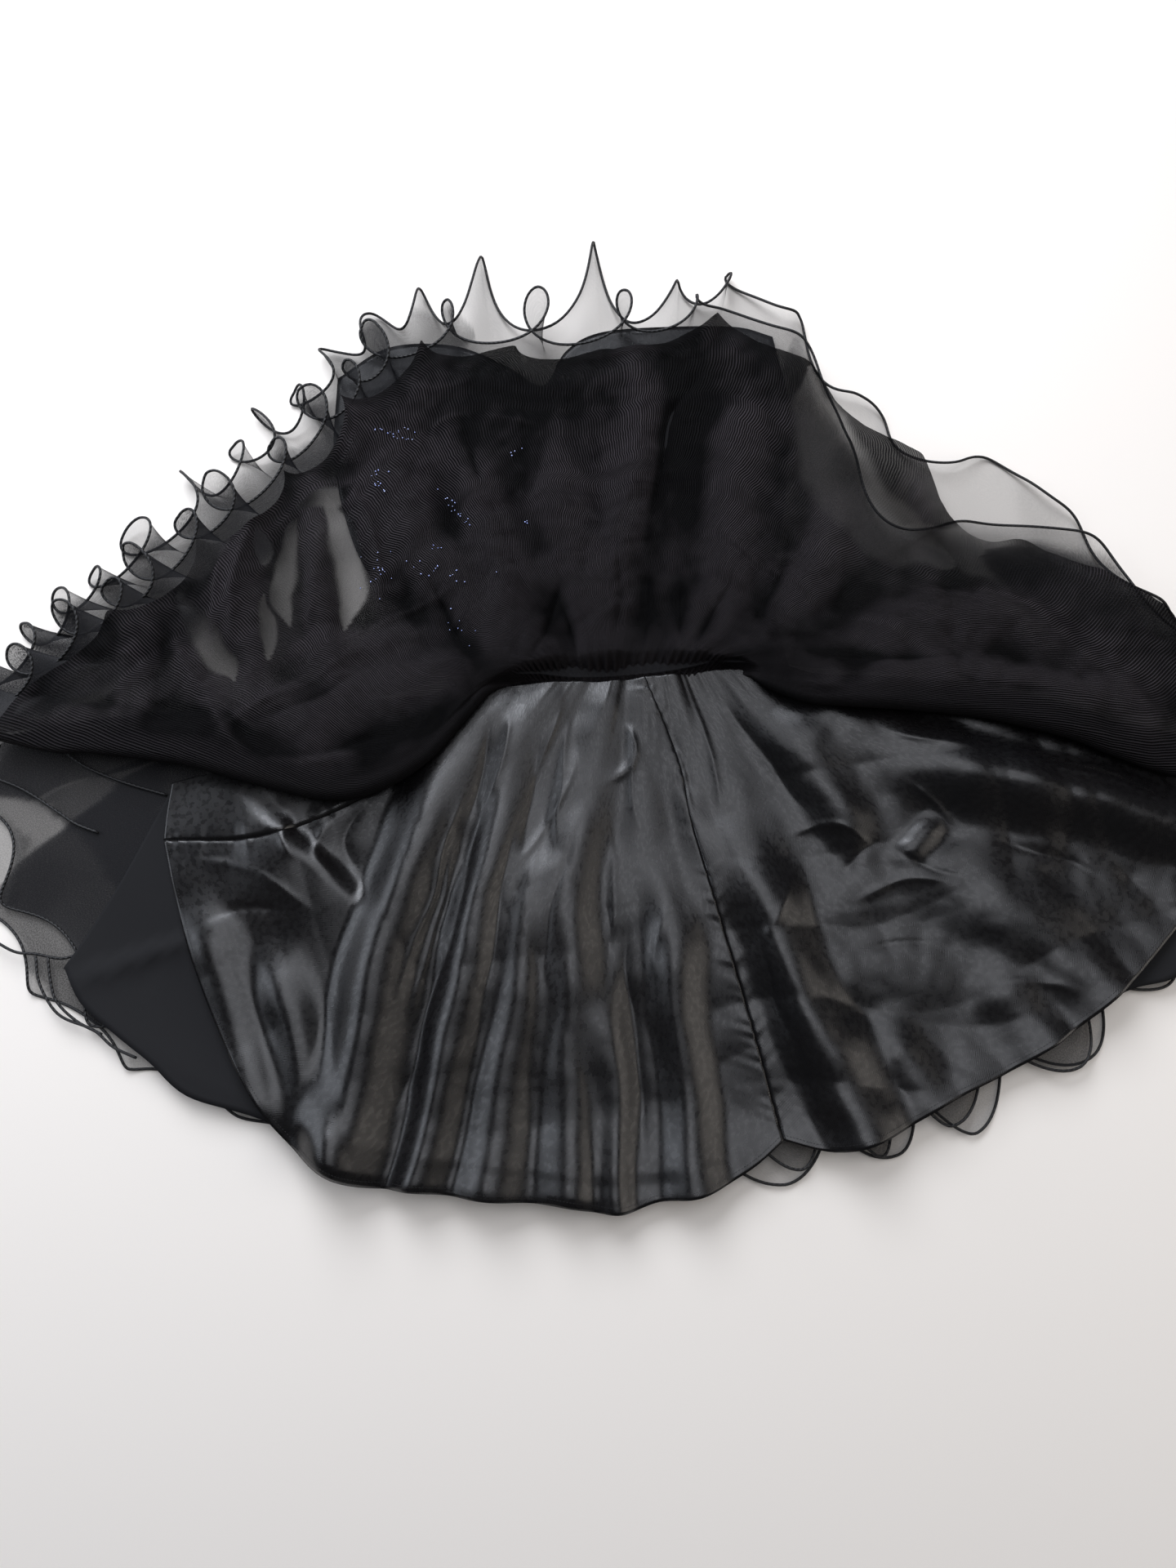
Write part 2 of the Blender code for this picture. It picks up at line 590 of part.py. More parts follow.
def main():
    for old in list(bpy.data.objects):
        bpy.data.objects.remove(old)
    satin = (0.012, 0.012, 0.014)
    organza = (0.010, 0.010, 0.012)
    crinkle = (0.006, 0.006, 0.008)
    made = []

    # Bodice
    across = np.linspace(0, 1, 15)
    for name, level in (("bodice_back", BODICE_BACK_Z), ("bodice_front", BODICE_FRONT_Z)):
        root = curve(WAIST) + np.array((0.0, 0.2))
        left, right = curve(BODICE_LEFT), curve(BODICE_RIGHT)
        left[0], right[0] = root[0], root[-1]
        made.append(plain_cloth(
            name, root, curve(BODICE_TOP), left, right, across, np.linspace(0, 1, 6),
            lambda x, y, level=level: np.full_like(x, level), BODICE_WALL, satin, 0.6))

    # Satin underskirt
    waist = curve(WAIST) - np.array((0.0, 0.6))
    at, _ = lengths(waist)
    flap = curve(FLAP_SEAM)
    pucker = curve(PUCKER_SEAM)
    flap_share = float(np.interp(flap[0, 0], waist[:, 0], at))
    pucker_share = float(np.interp(pucker[0, 0], waist[:, 0], at))
    down = np.array((0, 0.1, 0.2, 0.3, 0.4, 0.5, 0.6, 0.7, 0.8, 0.9, 0.96, 1.0))
    gores = (
        ("satin_side_left", 0.0, flap_share, curve(SATIN_SIDE_LEFT), flap,
         HEM_SIDE_LEFT, 4),
        ("satin_front_centre", flap_share, pucker_share, flap, pucker, HEM_CENTRE, 42),
        ("satin_front_right", pucker_share, 1.0, pucker, curve(SATIN_SIDE_RIGHT),
         HEM_RIGHT, 24),
    )
    for name, first, last, left, right, hem_rows, columns in gores:
        left = pulled_in(left, 1, SEAM_GAP)
        right = pulled_in(right, -1, SEAM_GAP)
        hem = curve(hem_rows)
        hem[0], hem[-1] = left[-1], right[-1]
        root = along(waist, np.linspace(first, last, 40))
        root[0], root[-1] = left[0], right[0]
        made.append(plain_cloth(
            name, root, hem, left, right, np.linspace(0, 1, columns + 1), down,
            satin_front_height, SATIN_WALL, satin, 0.35, (4, 2)))
    made.append(plain_cloth(
        "satin_back", curve(WAIST) - np.array((0.0, 0.6)), curve(HEM_SATIN_BACK),
        curve(SATIN_BACK_LEFT), curve(SATIN_BACK_RIGHT), np.linspace(0, 1, 27),
        np.array((0, 0.25, 0.5, 0.75, 0.88, 1.0)), satin_back_height, SATIN_WALL, satin,
        0.7))

    # Net under the satin
    waist_rows = tuple((x, y - 4) for x, y in WAIST[1:-1])
    wide, all_of = (2,), (0,)
    made.append(fluted_cloth(
        "overskirt_back_outer", BACK_OUTER, waist_rows, NET_BACK_LEFT[:-1],
        NET_BACK_RIGHT[:-1], (8, 17.0), np.array((0.0, 0.4, 0.8, 0.9, 0.95, 1.0)),
        ((4,), wide, wide, all_of, all_of, all_of),
        lambda x, y: np.full_like(x, BACK_OUTER_Z), NET_WALL, organza))
    made.append(fluted_cloth(
        "overskirt_back_inner", BACK_INNER, waist_rows, NET_BACK_LEFT[:-1],
        NET_BACK_RIGHT[:-1], (8, 17.0), np.array((0.0, 0.4, 0.7, 0.8, 0.9, 0.95, 1.0)),
        ((4,), wide, wide, wide, all_of, all_of, all_of), back_inner_height, NET_WALL,
        organza))

    # Turned-up net
    down = np.array((0.0, 0.15, 0.32, 0.46, 0.58, 0.7, 0.85, 0.93, 1.0))
    wide = (1,)
    gaps = ((4, 10), (2, 5), wide, wide, wide, wide, all_of, all_of, all_of)
    made.append(fluted_cloth(
        "overskirt_front_outer", FRONT_OUTER, NET_WAIST, NET_SIDE_LEFT, NET_SIDE_RIGHT,
        (8, 20.0), down, gaps, front_net_height, NET_WALL, organza))
    made.append(fluted_cloth(
        "overskirt_front_middle", FRONT_MIDDLE, NET_WAIST, NET_SIDE_LEFT, NET_SIDE_RIGHT,
        (8, 20.0), down, gaps,
        lambda x, y: front_net_height(x, y) + LAYER_STEP + FRONT_OUTER.room(x, y),
        NET_WALL, organza))
    made.append(rolled_net(
        "overskirt_front_inner", FRONT_INNER, NET_WAIST, (6, 22.0),
        np.array((0.0, 0.08, 0.17, 0.28, 0.4, 0.52, 0.65, 0.8, 0.92, 1.0)),
        ((2, 10), (2, 5), (2,), wide, wide, wide, wide, all_of, all_of, all_of),
        top_net_height, NET_WALL, crinkle))

    for body in made:
        bake(body)
    lay_down(made)


main()
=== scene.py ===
"""Looks of a strapless mini dress that lies on its back with its net overskirt turned up.

The drawing is in millimetres and has its origin at the middle of the waist seam: X to the right,
Y towards the neckline, Z up from the table. Meshes are in metres, in the frame's own place.
"""
import math

import bmesh
import bpy
import numpy as np
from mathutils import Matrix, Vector


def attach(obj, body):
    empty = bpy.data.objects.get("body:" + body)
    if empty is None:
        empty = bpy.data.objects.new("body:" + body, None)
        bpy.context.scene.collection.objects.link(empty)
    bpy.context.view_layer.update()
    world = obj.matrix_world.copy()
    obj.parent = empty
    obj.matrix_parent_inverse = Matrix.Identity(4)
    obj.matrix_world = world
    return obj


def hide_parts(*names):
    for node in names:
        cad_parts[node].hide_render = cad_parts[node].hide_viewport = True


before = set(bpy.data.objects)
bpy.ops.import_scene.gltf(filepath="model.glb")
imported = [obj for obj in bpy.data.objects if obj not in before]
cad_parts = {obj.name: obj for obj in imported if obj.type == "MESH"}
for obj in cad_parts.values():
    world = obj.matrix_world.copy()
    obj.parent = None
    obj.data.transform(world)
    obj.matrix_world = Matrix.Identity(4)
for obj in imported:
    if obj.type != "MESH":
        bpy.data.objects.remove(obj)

bl_info = {
    "name": "Strapless mini dress",
    "version": (1, 0, 0),
    "blender": (4, 5, 0),
    "location": "View3D > Sidebar > Dress",
    "description": "Cloth, hems, stitching and finishes of a strapless mini dress",
    "category": "Object",
}

MM = 0.001

# Where the drawing's origin lies in the frame, in millimetres
ORIGIN = (1.394, 21.631)

# Heights of the middle of each cloth where it lies flat
BACK_OUTER_Z = 0.5
BACK_INNER_Z = 2.4
SATIN_BACK_Z = 4.4
SATIN_FRONT_RISE = 2.7
BODICE_BACK_Z = 1.0
BODICE_FRONT_Z = 3.6
FRONT_NET_Z = 5.8
FRONT_HEM_DROP = 5.0
SATIN_CLEARANCE = 7.0
LAYER_STEP = 4.4
NET_ROOT_Z = 8.6

# Lines of the pattern, each row a point: x, y
WAIST = ((-165, -4), (-128, -4), (-81, 2), (-17, 4), (40, 9), (102, 15), (165, 4))
NET_WAIST = (
    (-90, 7), (-78, 7), (-52, 5), (-17, 5.5), (40, 10.5), (68, 15), (86, 19), (96, 20),
)
BODICE_LEFT = ((-165, -2), (-209, 66), (-251, 116), (-273, 167), (-288, 237), (-287, 320))
BODICE_RIGHT = ((165, 6), (152, 60), (150, 120), (162, 185), (169, 290), (155, 366))
BODICE_TOP = (
    (-287, 320), (-236, 354), (-170, 356), (-117, 334), (-79, 312), (-56, 350),
    (-20, 371), (50, 377), (118, 377), (155, 366),
)
SATIN_SIDE_LEFT = ((-165, -4), (-250, -38), (-340, -72), (-428, -97))
FLAP_SEAM = ((-138, -5), (-220, -95), (-330, -147), (-432, -152))
PUCKER_SEAM = ((21, 7), (53, -76), (65, -138), (91, -230), (116, -319), (142, -424))
SATIN_SIDE_RIGHT = ((165, 2), (330, -22), (500, -58), (606, -108))
HEM_SIDE_LEFT = ((-428, -97), (-431, -124), (-432, -152))
HEM_CENTRE = (
    (-432, -152), (-416, -210), (-395, -270), (-371, -323), (-344, -370), (-312, -414),
    (-274, -446), (-236, -462), (-181, -467), (-122, -474), (-63, -478), (-6, -486),
    (30, -476), (70, -470), (110, -450), (142, -424),
)
HEM_RIGHT = (
    (142, -424), (190, -433), (242, -417), (300, -386), (349, -363), (404, -330),
    (460, -285), (518, -225), (570, -167), (606, -112),
)
SATIN_BACK_LEFT = ((-165, -4.6), (-280, -50), (-380, -84), (-429, -101))
SATIN_BACK_RIGHT = ((165, 3.4), (330, -26), (500, -62), (600, -116))
HEM_SATIN_BACK = (
    (-429, -101), (-470, -186), (-514, -266), (-516, -271), (-513, -276), (-497, -304),
    (-463, -332), (-431, -356), (-396, -385), (-340, -402), (-250, -430), (-120, -446),
    (0, -452), (140, -414), (260, -392), (360, -345), (459, -293), (514, -274), (572, -200),
    (600, -120),
)
NET_BACK_LEFT = ((-165, -8), (-330, -20), (-500, -32))
NET_BACK_RIGHT = ((165, -2), (330, -20), (500, -40))
HEM_BACK_OUTER = (
    (-634, -56), (-640, -130), (-622, -203), (-572, -253), (-520, -312), (-462, -348),
    (-380, -395), (-250, -446), (-120, -466), (0, -474), (129, -462), (240, -440),
    (330, -405), (402, -363), (470, -318), (535, -255), (594, -190), (636, -130), (648, -82),
)
HEM_BACK_INNER = (
    (-625, -58), (-612, -140), (-580, -205), (-530, -262), (-470, -318), (-420, -352),
    (-350, -386), (-240, -424), (-120, -444), (0, -452), (120, -440), (230, -418),
    (318, -388), (400, -345), (470, -292), (530, -232), (590, -165), (636, -84),
)
FOLD_LEFT = (
    (-97, 2), (-114, -2), (-138, -26), (-176, -74), (-220, -106), (-267, -118), (-322, -108),
    (-377, -93), (-429, -80), (-504, -70), (-560, -70),
)
FOLD_RIGHT = (
    (102, 15), (117, 10), (137, -8), (176, -24), (227, -29), (290, -33), (345, -40), (415, -57),
    (461, -73), (499, -86), (560, -94),
)
HEM_FRONT_OUTER = (
    (-638, -50), (-622, 5), (-563, 75), (-500, 130), (-435, 200), (-370, 255),
    (-310, 325), (-255, 382), (-180, 405), (-90, 402), (0, 408), (60, 412), (101, 426),
    (143, 420), (174, 394), (193, 364), (212, 320), (237, 303), (264, 277), (285, 247),
    (329, 229), (369, 234), (407, 217), (433, 187), (459, 155), (489, 117), (541, 71),
    (600, 30), (634, -20), (644, -60),
)
HEM_FRONT_MIDDLE = (
    (-622, -52), (-598, -5), (-545, 50), (-480, 105), (-415, 170), (-350, 230),
    (-290, 300), (-235, 358), (-160, 382), (-75, 376), (10, 384), (70, 390), (117, 397),
    (160, 374), (195, 335), (218, 287), (226, 253), (236, 211), (264, 168), (298, 157),
    (347, 163), (393, 165), (430, 157), (463, 141), (500, 108), (539, 50), (590, 16),
    (618, -24), (622, -62),
)
HEM_FRONT_INNER = (
    (-596, -52), (-566, -12), (-520, 34), (-455, 84), (-390, 140), (-325, 200),
    (-275, 265), (-225, 322), (-150, 350), (-70, 344), (10, 352), (90, 372), (150, 354),
    (196, 310), (232, 270), (268, 242), (298, 214), (318, 178), (348, 146), (400, 134),
    (470, 112), (530, 60), (584, 8), (602, -64),
)
NET_SIDE_LEFT = ((-86, 7), (-150, 4), (-250, -20), (-390, -36), (-530, -46))
NET_SIDE_RIGHT = ((90, 19), (150, 14), (260, 2), (400, -16), (550, -46))

# Upper edge of everything that lies under the front net: x, y
SIDE_LINE = (
    (-700, -76), (-640, -68), (-500, -50), (-420, -66), (-330, -34), (-240, -16), (-165, 0),
    (165, 8), (330, -16), (500, -48), (650, -78), (700, -80),
)

# Folds of the satin front. Each row: start x, y, middle x, y, end x, y, height,
# half width on the left of the line, half width on its right, share of the height at its
# start, and at its end
SATIN_FOLDS = {
    "flap_edge": (-372, -118, -310, -170, -225, -242, 11, 26, 80, 0.2, 0.0),
    "flap_soft": (-400, -190, -372, -280, -330, -390, 10, 42, 42, 0.0, 1.0),
    "flap_low": (-330, -230, -310, -300, -280, -420, 11, 36, 30, 0.0, 0.8),
    "big_roll": (-133, -30, -200, -180, -258, -440, 24, 52, 46, 0.3, 1.0),
    "second_roll": (-84, -20, -128, -180, -186, -455, 18, 40, 28, 0.3, 1.0),
    "centre_left": (-49, -99, -86, -222, -121, -470, 14, 40, 36, 0.0, 1.0),
    "centre": (-18, -28, -45, -177, -52, -472, 14, 38, 36, 0.3, 1.0),
    "hem_pleat_left": (-20, -240, -13, -377, -4, -482, 10, 24, 28, 0.0, 1.0),
    "hem_pleat_right": (35, -150, 52, -319, 64, -470, 14, 38, 30, 0.0, 1.0),
    "seam_ridge": (24, -12, 78, -180, 118, -330, 4, 26, 26, 0.3, 0.0),
    "strong_ridge": (82, -103, 147, -274, 212, -425, 18, 54, 38, 0.0, 1.0),
    "low_right": (220, -311, 262, -372, 306, -384, 7, 38, 38, 0.0, 0.6),
    "hem_swell": (330, -250, 360, -310, 386, -352, 8, 40, 40, 0.0, 1.0),
    "top_right": (190, -40, 330, -88, 570, -140, 20, 44, 52, 0.4, 1.0),
    "inner_right": (123, -4, 172, -80, 250, -190, 11, 40, 36, 0.4, 0.0),
    "middle_right": (280, -160, 389, -237, 480, -320, 10, 60, 60, 0.0, 1.0),
    "short_crease": (312, -123, 281, -146, 256, -177, 5, 20, 20, 0.0, 0.0),
}

# Sharp creases of the satin front, columns as above
SATIN_CREASES = {
    "pocket_left": (-313, -126, -317, -152, -296, -172, 1.6, 10, 10),
    "pocket_middle": (-258, -120, -284, -160, -256, -198, 2.4, 12, 10),
    "pocket_right": (-234, -112, -262, -150, -240, -190, -2.4, 13, 13),
    "roll_valley": (-126, -52, -148, -200, -223, -448, -3, 12, 14),
    "second_valley": (-95, -115, -120, -245, -133, -355, -2.5, 9, 9),
    "roll_lip": (-146, -92, -178, -200, -216, -330, 2.2, 7, 7),
    "bright_lip": (-150, -140, -176, -230, -196, -330, 2.0, 6, 5),
    "centre_valley": (1, -192, 10, -340, 27, -472, -3, 12, 12),
    "centre_nick": (-30, -120, -66, -210, -74, -300, -1.8, 9, 9),
    "centre_fork": (-44, -60, -66, -128, -110, -190, 1.8, 8, 8),
    "waist_left": (-60, -14, -72, -60, -96, -110, 2.0, 7, 8),
    "waist_centre": (14, -20, 8, -80, 18, -150, 1.6, 8, 8),
    "waist_right": (64, -14, 84, -70, 90, -130, 1.8, 8, 8),
    "right_valley": (107, -199, 146, -319, 179, -426, -3, 12, 12),
    "right_lens": (240, -40, 290, -58, 350, -66, 4, 14, 10),
    "long_light": (354, -72, 430, -87, 520, -123, 2.4, 8, 8),
    "facet_one": (150, -150, 190, -140, 236, -160, 1.6, 7, 7),
    "facet_two": (196, -190, 222, -162, 250, -152, -1.6, 7, 7),
    "facet_three": (210, -210, 256, -190, 312, -196, 1.8, 8, 8),
    "facet_four": (246, -150, 282, -178, 330, -190, -1.5, 7, 8),
    "facet_five": (262, -92, 296, -120, 316, -152, 1.6, 7, 7),
    "facet_six": (340, -150, 392, -164, 456, -196, -1.6, 8, 9),
    "facet_seven": (214, -262, 250, -246, 296, -250, -1.4, 8, 8),
    "facet_eight": (120, -250, 146, -216, 160, -180, 1.4, 7, 7),
    "facet_nine": (330, -290, 372, -282, 420, -296, 1.4, 8, 8),
    "flap_crease": (-410, -170, -340, -186, -282, -230, 1.6, 8, 8),
    "flap_cross": (-390, -230, -350, -216, -300, -222, -1.5, 8, 8),
    "bend_left": (-112, -24, -108, -60, -132, -122, 3.4, 10, 16),
    "bend_left_hollow": (-127, -32, -130, -75, -146, -137, -3.0, 12, 10),
    "bend_middle": (-47, -24, -58, -72, -62, -168, 3.0, 14, 10),
    "bend_hook": (-4, -35, 10, -72, -27, -100, 3.2, 12, 14),
    "bend_shade": (-77, -51, -86, -98, -95, -176, -2.6, 16, 12),
    "bend_right": (34, -25, 58, -75, 64, -137, -2.4, 14, 16),
    "bend_far": (89, -7, 130, -67, 182, -133, -3.6, 16, 14),
    "bend_low": (-16, -130, -9, -191, -15, -267, 2.6, 16, 18),
    "knee_one": (-20, -206, -12, -232, -14, -262, -1.5, 8, 8),
    "knee_two": (40, -210, 30, -250, 34, -290, 1.5, 7, 7),
}

# Creases of the matt wrong side and of the bodice, columns as above
BACK_CREASES = {
    "long_crease": (-530, -282, -452, -260, -380, -228, 6.0, 5, 22),
    "hem_crease": (-460, -300, -440, -280, -420, -240, -1.0, 10, 10),
    "left_crease": (-250, -120, -300, -200, -330, -300, 1.0, 14, 14),
    "right_crease": (260, -120, 330, -180, 380, -250, 1.0, 14, 14),
    "far_crease": (470, -150, 500, -190, 520, -240, 1.2, 10, 10),
    "centre_crease": (0, -120, 10, -240, -10, -360, 1.0, 16, 16),
}

# Folds of the turned-up net, columns as for the satin's folds
NET_FOLDS = {
    "left_outer": (-254, 282, -200, 150, -100, 26, 13, 40, 40, 0.0, 0.5),
    "left_inner": (-164, 282, -129, 153, -76, 24, 15, 36, 36, 0.0, 0.5),
    "middle": (-58, 300, -57, 161, -22, 26, 12, 36, 36, 0.0, 0.5),
    "right_inner": (33, 353, 7, 195, -8, 34, 14, 36, 40, 0.2, 0.5),
    "right_outer": (130, 340, 108, 178, 66, 34, 17, 50, 40, 0.2, 0.5),
    "right_side": (215, 240, 192, 130, 140, 46, 15, 44, 30, 0.0, 0.4),
    "right_far": (470, 40, 300, 60, 190, 20, 12, 40, 40, 0.0, 0.4),
    "right_low": (520, -30, 360, 0, 230, -8, 8, 30, 30, 0.0, 0.3),
    "left_window": (-292, 230, -296, 111, -270, 10, 12, 26, 26, 0.0, 0.4),
    "left_far": (-349, 230, -368, 111, -350, 10, 13, 30, 30, 0.0, 0.4),
    "left_bulge": (-120, 30, -230, -24, -380, -40, 13, 40, 50, 0.3, 0.2),
    "left_middle": (-140, 60, -250, 30, -380, 30, 8, 30, 30, 0.2, 0.0),
}

# Sharp creases of the top net, columns as above
NET_CREASES = {
    "long_groove": (96, 348, 46, 250, 26, 112, -8, 9, 12),
    "groove_foot": (26, 112, 22, 60, 18, 26, -3, 7, 7),
    "left_hook": (-190, 240, -180, 268, -144, 272, 2.6, 6, 6),
    "left_hook_end": (-144, 272, -106, 268, -70, 254, 2.2, 6, 6),
    "left_groove": (-160, 276, -146, 222, -130, 180, -6, 11, 11),
    "left_groove_foot": (-134, 200, -110, 130, -70, 56, -5, 11, 11),
    "vee_left": (-50, 188, -28, 166, -12, 150, 2.0, 6, 6),
    "vee_right": (-12, 150, 4, 172, 13, 196, 2.0, 6, 6),
    "vee_far": (-100, 184, -82, 188, -70, 196, 2.0, 6, 6),
    "centre_groove": (-6, 150, -4, 84, -8, 20, -5, 11, 11),
    "waist_groove_left": (-70, 90, -50, 50, -36, 14, -5, 9, 9),
    "waist_groove_right": (60, 110, 56, 70, 52, 24, -6, 9, 9),
    "top_wave": (-20, 330, 30, 338, 86, 326, 2.4, 9, 9),
    "top_left_wave": (-230, 310, -180, 300, -130, 326, 2.2, 9, 9),
    "right_groove": (168, 150, 150, 100, 118, 50, -4, 9, 9),
    "right_long": (140, 40, 210, 20, 330, 18, -3, 9, 9),
    "right_top": (240, 110, 330, 84, 430, 70, 2.6, 10, 10),
    "right_low": (250, -2, 350, -12, 470, -32, -2.6, 9, 9),
    "left_long": (-150, -20, -230, -60, -330, -78, -3.5, 9, 9),
    "left_low": (-200, -80, -270, -96, -340, -92, 3, 9, 9),
    "left_high": (-140, 24, -200, 8, -300, 2, 2.6, 9, 9),
    "left_crossing": (-440, 60, -380, -20, -300, -66, 3.6, 9, 9),
    "flank_fold": (-372, -28, -349, -57, -321, -93, -5, 10, 8),
    "flank_line": (-471, -18, -422, -28, -371, -33, -4, 8, 8),
    "window_hem": (-368, -34, -303, -6, -243, 38, 4, 9, 12),
    "window_hollow": (-358, -46, -292, -20, -228, 17, -4, 9, 10),
    "high_wave": (-259, 46, -198, 73, -155, 98, 3, 8, 8),
    "end_line": (-569, -8, -529, -23, -471, -23, -4, 8, 8),
    "roll_line": (-280, -99, -223, -90, -172, -69, -4, 8, 8),
    "roll_light": (-356, -77, -295, -82, -226, -69, 4, 12, 12),
    "waist_fan_left": (-192, 117, -168, 59, -134, 1, -5, 9, 9),
    "waist_fan_mid": (-57, 108, -74, 51, -96, 2, -5, 9, 9),
    "waist_fan_right": (109, 108, 83, 59, 59, 17, -5, 9, 9),
    "side_fan": (154, 35, 232, 18, 326, 20, -4, 10, 10),
    "side_fan_low": (130, 2, 215, -15, 308, -14, 3, 10, 12),
    "far_left": (-540, -10, -470, -30, -400, -46, -3, 10, 10),
}

# Dark standing pleats at the left of the top net, columns as above
STANDING_PLEATS = {
    "tall": (-332, 230, -362, 130, -384, 10, 8, 16, 14),
    "inner": (-304, 150, -298, 100, -306, 40, 7, 12, 12),
    "edge": (-276, 220, -238, 130, -244, 60, 7, 12, 14),
    "outer": (-376, 150, -392, 90, -396, 20, 6, 12, 10),
    "low": (-440, 60, -390, -20, -336, -90, 5, 12, 12),
    "low_right": (-262, 30, -330, -16, -380, -60, 5, 14, 12),
}

# Leaf-shaped places where the top net is one ply and the table shows through. Each row:
# start x, y, middle x, y, end x, y, half width, how much of the cloth's cover is left
SHEER_PLACES = {
    "tall_window": (-290, 186, -266, 128, -264, 50, 20, 0.12),
    "window_top": (-318, 176, -292, 182, -262, 196, 13, 0.12),
    "centre_window": (-316, 160, -328, 108, -322, 50, 14, 0.45),
    "small_window": (-353, 156, -348, 134, -350, 110, 7, 0.2),
    "narrow_window": (-345, 86, -343, 56, -337, 22, 9, 0.25),
    "triangle": (-430, 84, -401, 44, -374, -2, 20, 0.4),
    "frill_foot": (-446, 108, -412, 124, -376, 150, 24, 0.35),
    "upper_frill": (-410, 186, -382, 212, -352, 240, 20, 0.3),
    "high_frill": (-344, 230, -316, 262, -298, 300, 18, 0.35),
    "far_left": (-570, -36, -520, -10, -470, 26, 24, 0.6),
    "right_frill": (186, 316, 222, 190, 320, 116, 40, 0.5),
    "right_hem": (270, 150, 390, 112, 530, 40, 30, 0.62),
}

# Places where sheer layers lie doubled, columns as above but with how much the fold adds
DOUBLED_PLACES = {
    "left_frill": (-620, -50, -450, 90, -280, 260, 60, 0.50),
    "left_corner": (-650, -60, -600, 0, -520, 60, 50, 0.55),
    "top_left": (-300, 260, -240, 330, -150, 366, 60, 0.40),
    "right_band": (176, 350, 226, 190, 420, 96, 46, 0.25),
    "right_end": (360, 130, 500, 60, 630, -60, 56, 0.60),
}

# Cornered places where the sheer back layers are folded over. Each row: corners x, y, then
# how much the fold adds
FOLDED_PLACES = (
    (((-640, -240), (-584, -186), (-536, -141), (-498, -108), (-470, -84), (-400, -60),
      (-380, -140), (-470, -330), (-530, -300), (-560, -262), (-610, -250)), 0.45),
    (((-660, -106), (-600, -108), (-560, -112), (-520, -96), (-430, -70), (-430, -40),
      (-660, -40)), 0.40),
    (((-560, -112), (-520, -140), (-470, -200), (-430, -200), (-440, -60)), 0.30),
    (((-600, -120), (-560, -150), (-570, -210), (-620, -230), (-660, -180)), 0.15),
    (((600, -60), (520, -120), (560, -190), (660, -120)), 0.40),
)

# Hems of the back layers where they are folded up over themselves at the left
LOOSE_HEMS = (
    ((-601, -91), (-577, -100), (-557, -111), (-537, -124), (-518, -136), (-497, -144)),
    ((-556, -49), (-524, -74), (-504, -85), (-472, -97), (-434, -108)),
    ((-587, -244), (-564, -256), (-545, -258), (-521, -262), (-500, -255)),
    ((-545, -260), (-540, -282), (-528, -303), (-514, -316), (-486, -327), (-467, -342),
     (-445, -352)),
    ((-534, -260), (-530, -280), (-522, -301), (-502, -319), (-478, -331)),
)
LOOSE_HEM_RISE = 1.8

# Steps between the points of a hem cord, in metres
HEM_CORD_STEP = 0.0022
LOOSE_CORD_STEP = 0.003

# Rays that every net layer shares from waist to hem
ROOT_CROWD = 0.8

# Waist gathers
GATHER_COUNT = 14
GATHERS_FROM = 2.5
GATHERS_TO = 11.5
GATHER_HEIGHT = 3.0
GATHER_SHARE = 0.34
FINE_GATHERS = 47
FINE_GATHER_HEIGHT = 1.1
FINE_GATHER_SHARE = 0.16

# Rolled sides of the turned-up net, each row: share of the side line, radius of the roll
ROLL_RADIUS = ((0.0, 4.0), (0.12, 8.0), (0.35, 13.0), (0.7, 12.0), (0.9, 6.0), (1.0, 4.5))
ROLL_RETURN = 24.0
ROLL_BLEND = 95.0
ROLL_PRESSED = 3.0
ROLL_START = 12.0
ROLL_POINTS = 15
RETURN_FADES_FROM = 0.75
RETURN_LOST = 0.8

# How the front net rests: width held down at the waist, least height over the satin, and how
# far above the side line the satin still lifts it
WAIST_HELD = 80.0
NET_OVER_SATIN = 2.4
NET_REST_ROUND = 2.0
SIDE_REST = 6.0
SIDE_FADE = 60.0
NET_FOLD_FADE = 90.0
BODICE_EDGE = 12.0
BODICE_FADE = 30.0

# Edges of the top net: share at its sides that lies smooth, share below the waist that the
# rumples need to grow, and its waist edge, tucked behind the seam
NET_EDGE_SHARE = 0.03
NET_SOFT_SHARE = 0.25
TUCK_SHARE = 0.075
TUCK_BACK = 5.0
TUCK_WAVER = 2.5

# Painted shade of the top net, from the height of its folds and creases: its colour is painted
# lighter on its ridges and darker in its hollows. Columns: share of its folds that counts, the
# height that is painted neither light nor dark, the part of it that holds at the waist too, the
# painted shade at that height, the height of the whole range, and the darkest painted shade
SHADE_FOLDS = 0.7
SHADE_LEVEL = 4.5
SHADE_WAIST = 0.1
SHADE_MIDDLE = 0.34
SHADE_RANGE = 9.0
SHADE_LEAST = 0.06

# How drawn lines waver: how far, over what distance, and a turn for x and for y
FOLD_WAVER = (7, 80.0, (0.4, 1.9))
CREASE_WAVER = (4, 45.0, (0.9, 2.6))
LEAF_WAVER = (5, 22.0, (1.1, 2.9))
PLACE_WAVER = (4, 26.0, (0.7, 2.2))
FOLD_RISE_SHARE = 0.4
FOLD_END = 50.0
CREASE_RISE_SHARE = 0.35

# Fans that the rumples follow: middle x, y, way along y, radius at which width is counted
NET_FAN = (0.0, -160.0, 1, 330.0)
SATIN_FAN = (20.0, 120.0, -1, 420.0)

# Rumples along a fan: height, how much longer than wide, size, seed
NET_SWELL = (3.0, 2.4, 30.0, 41)
SATIN_SWELL = (2.8, 2.4, 52.0, 3)
SATIN_RIPPLE = (0.3, 1.5, 21.0, 4)
WAIST_RUMPLE = (0.5, 9.0, 10.0, 5)
WAIST_RUMPLE_FROM = 120.0
WAIST_RUMPLE_FADE = 90.0

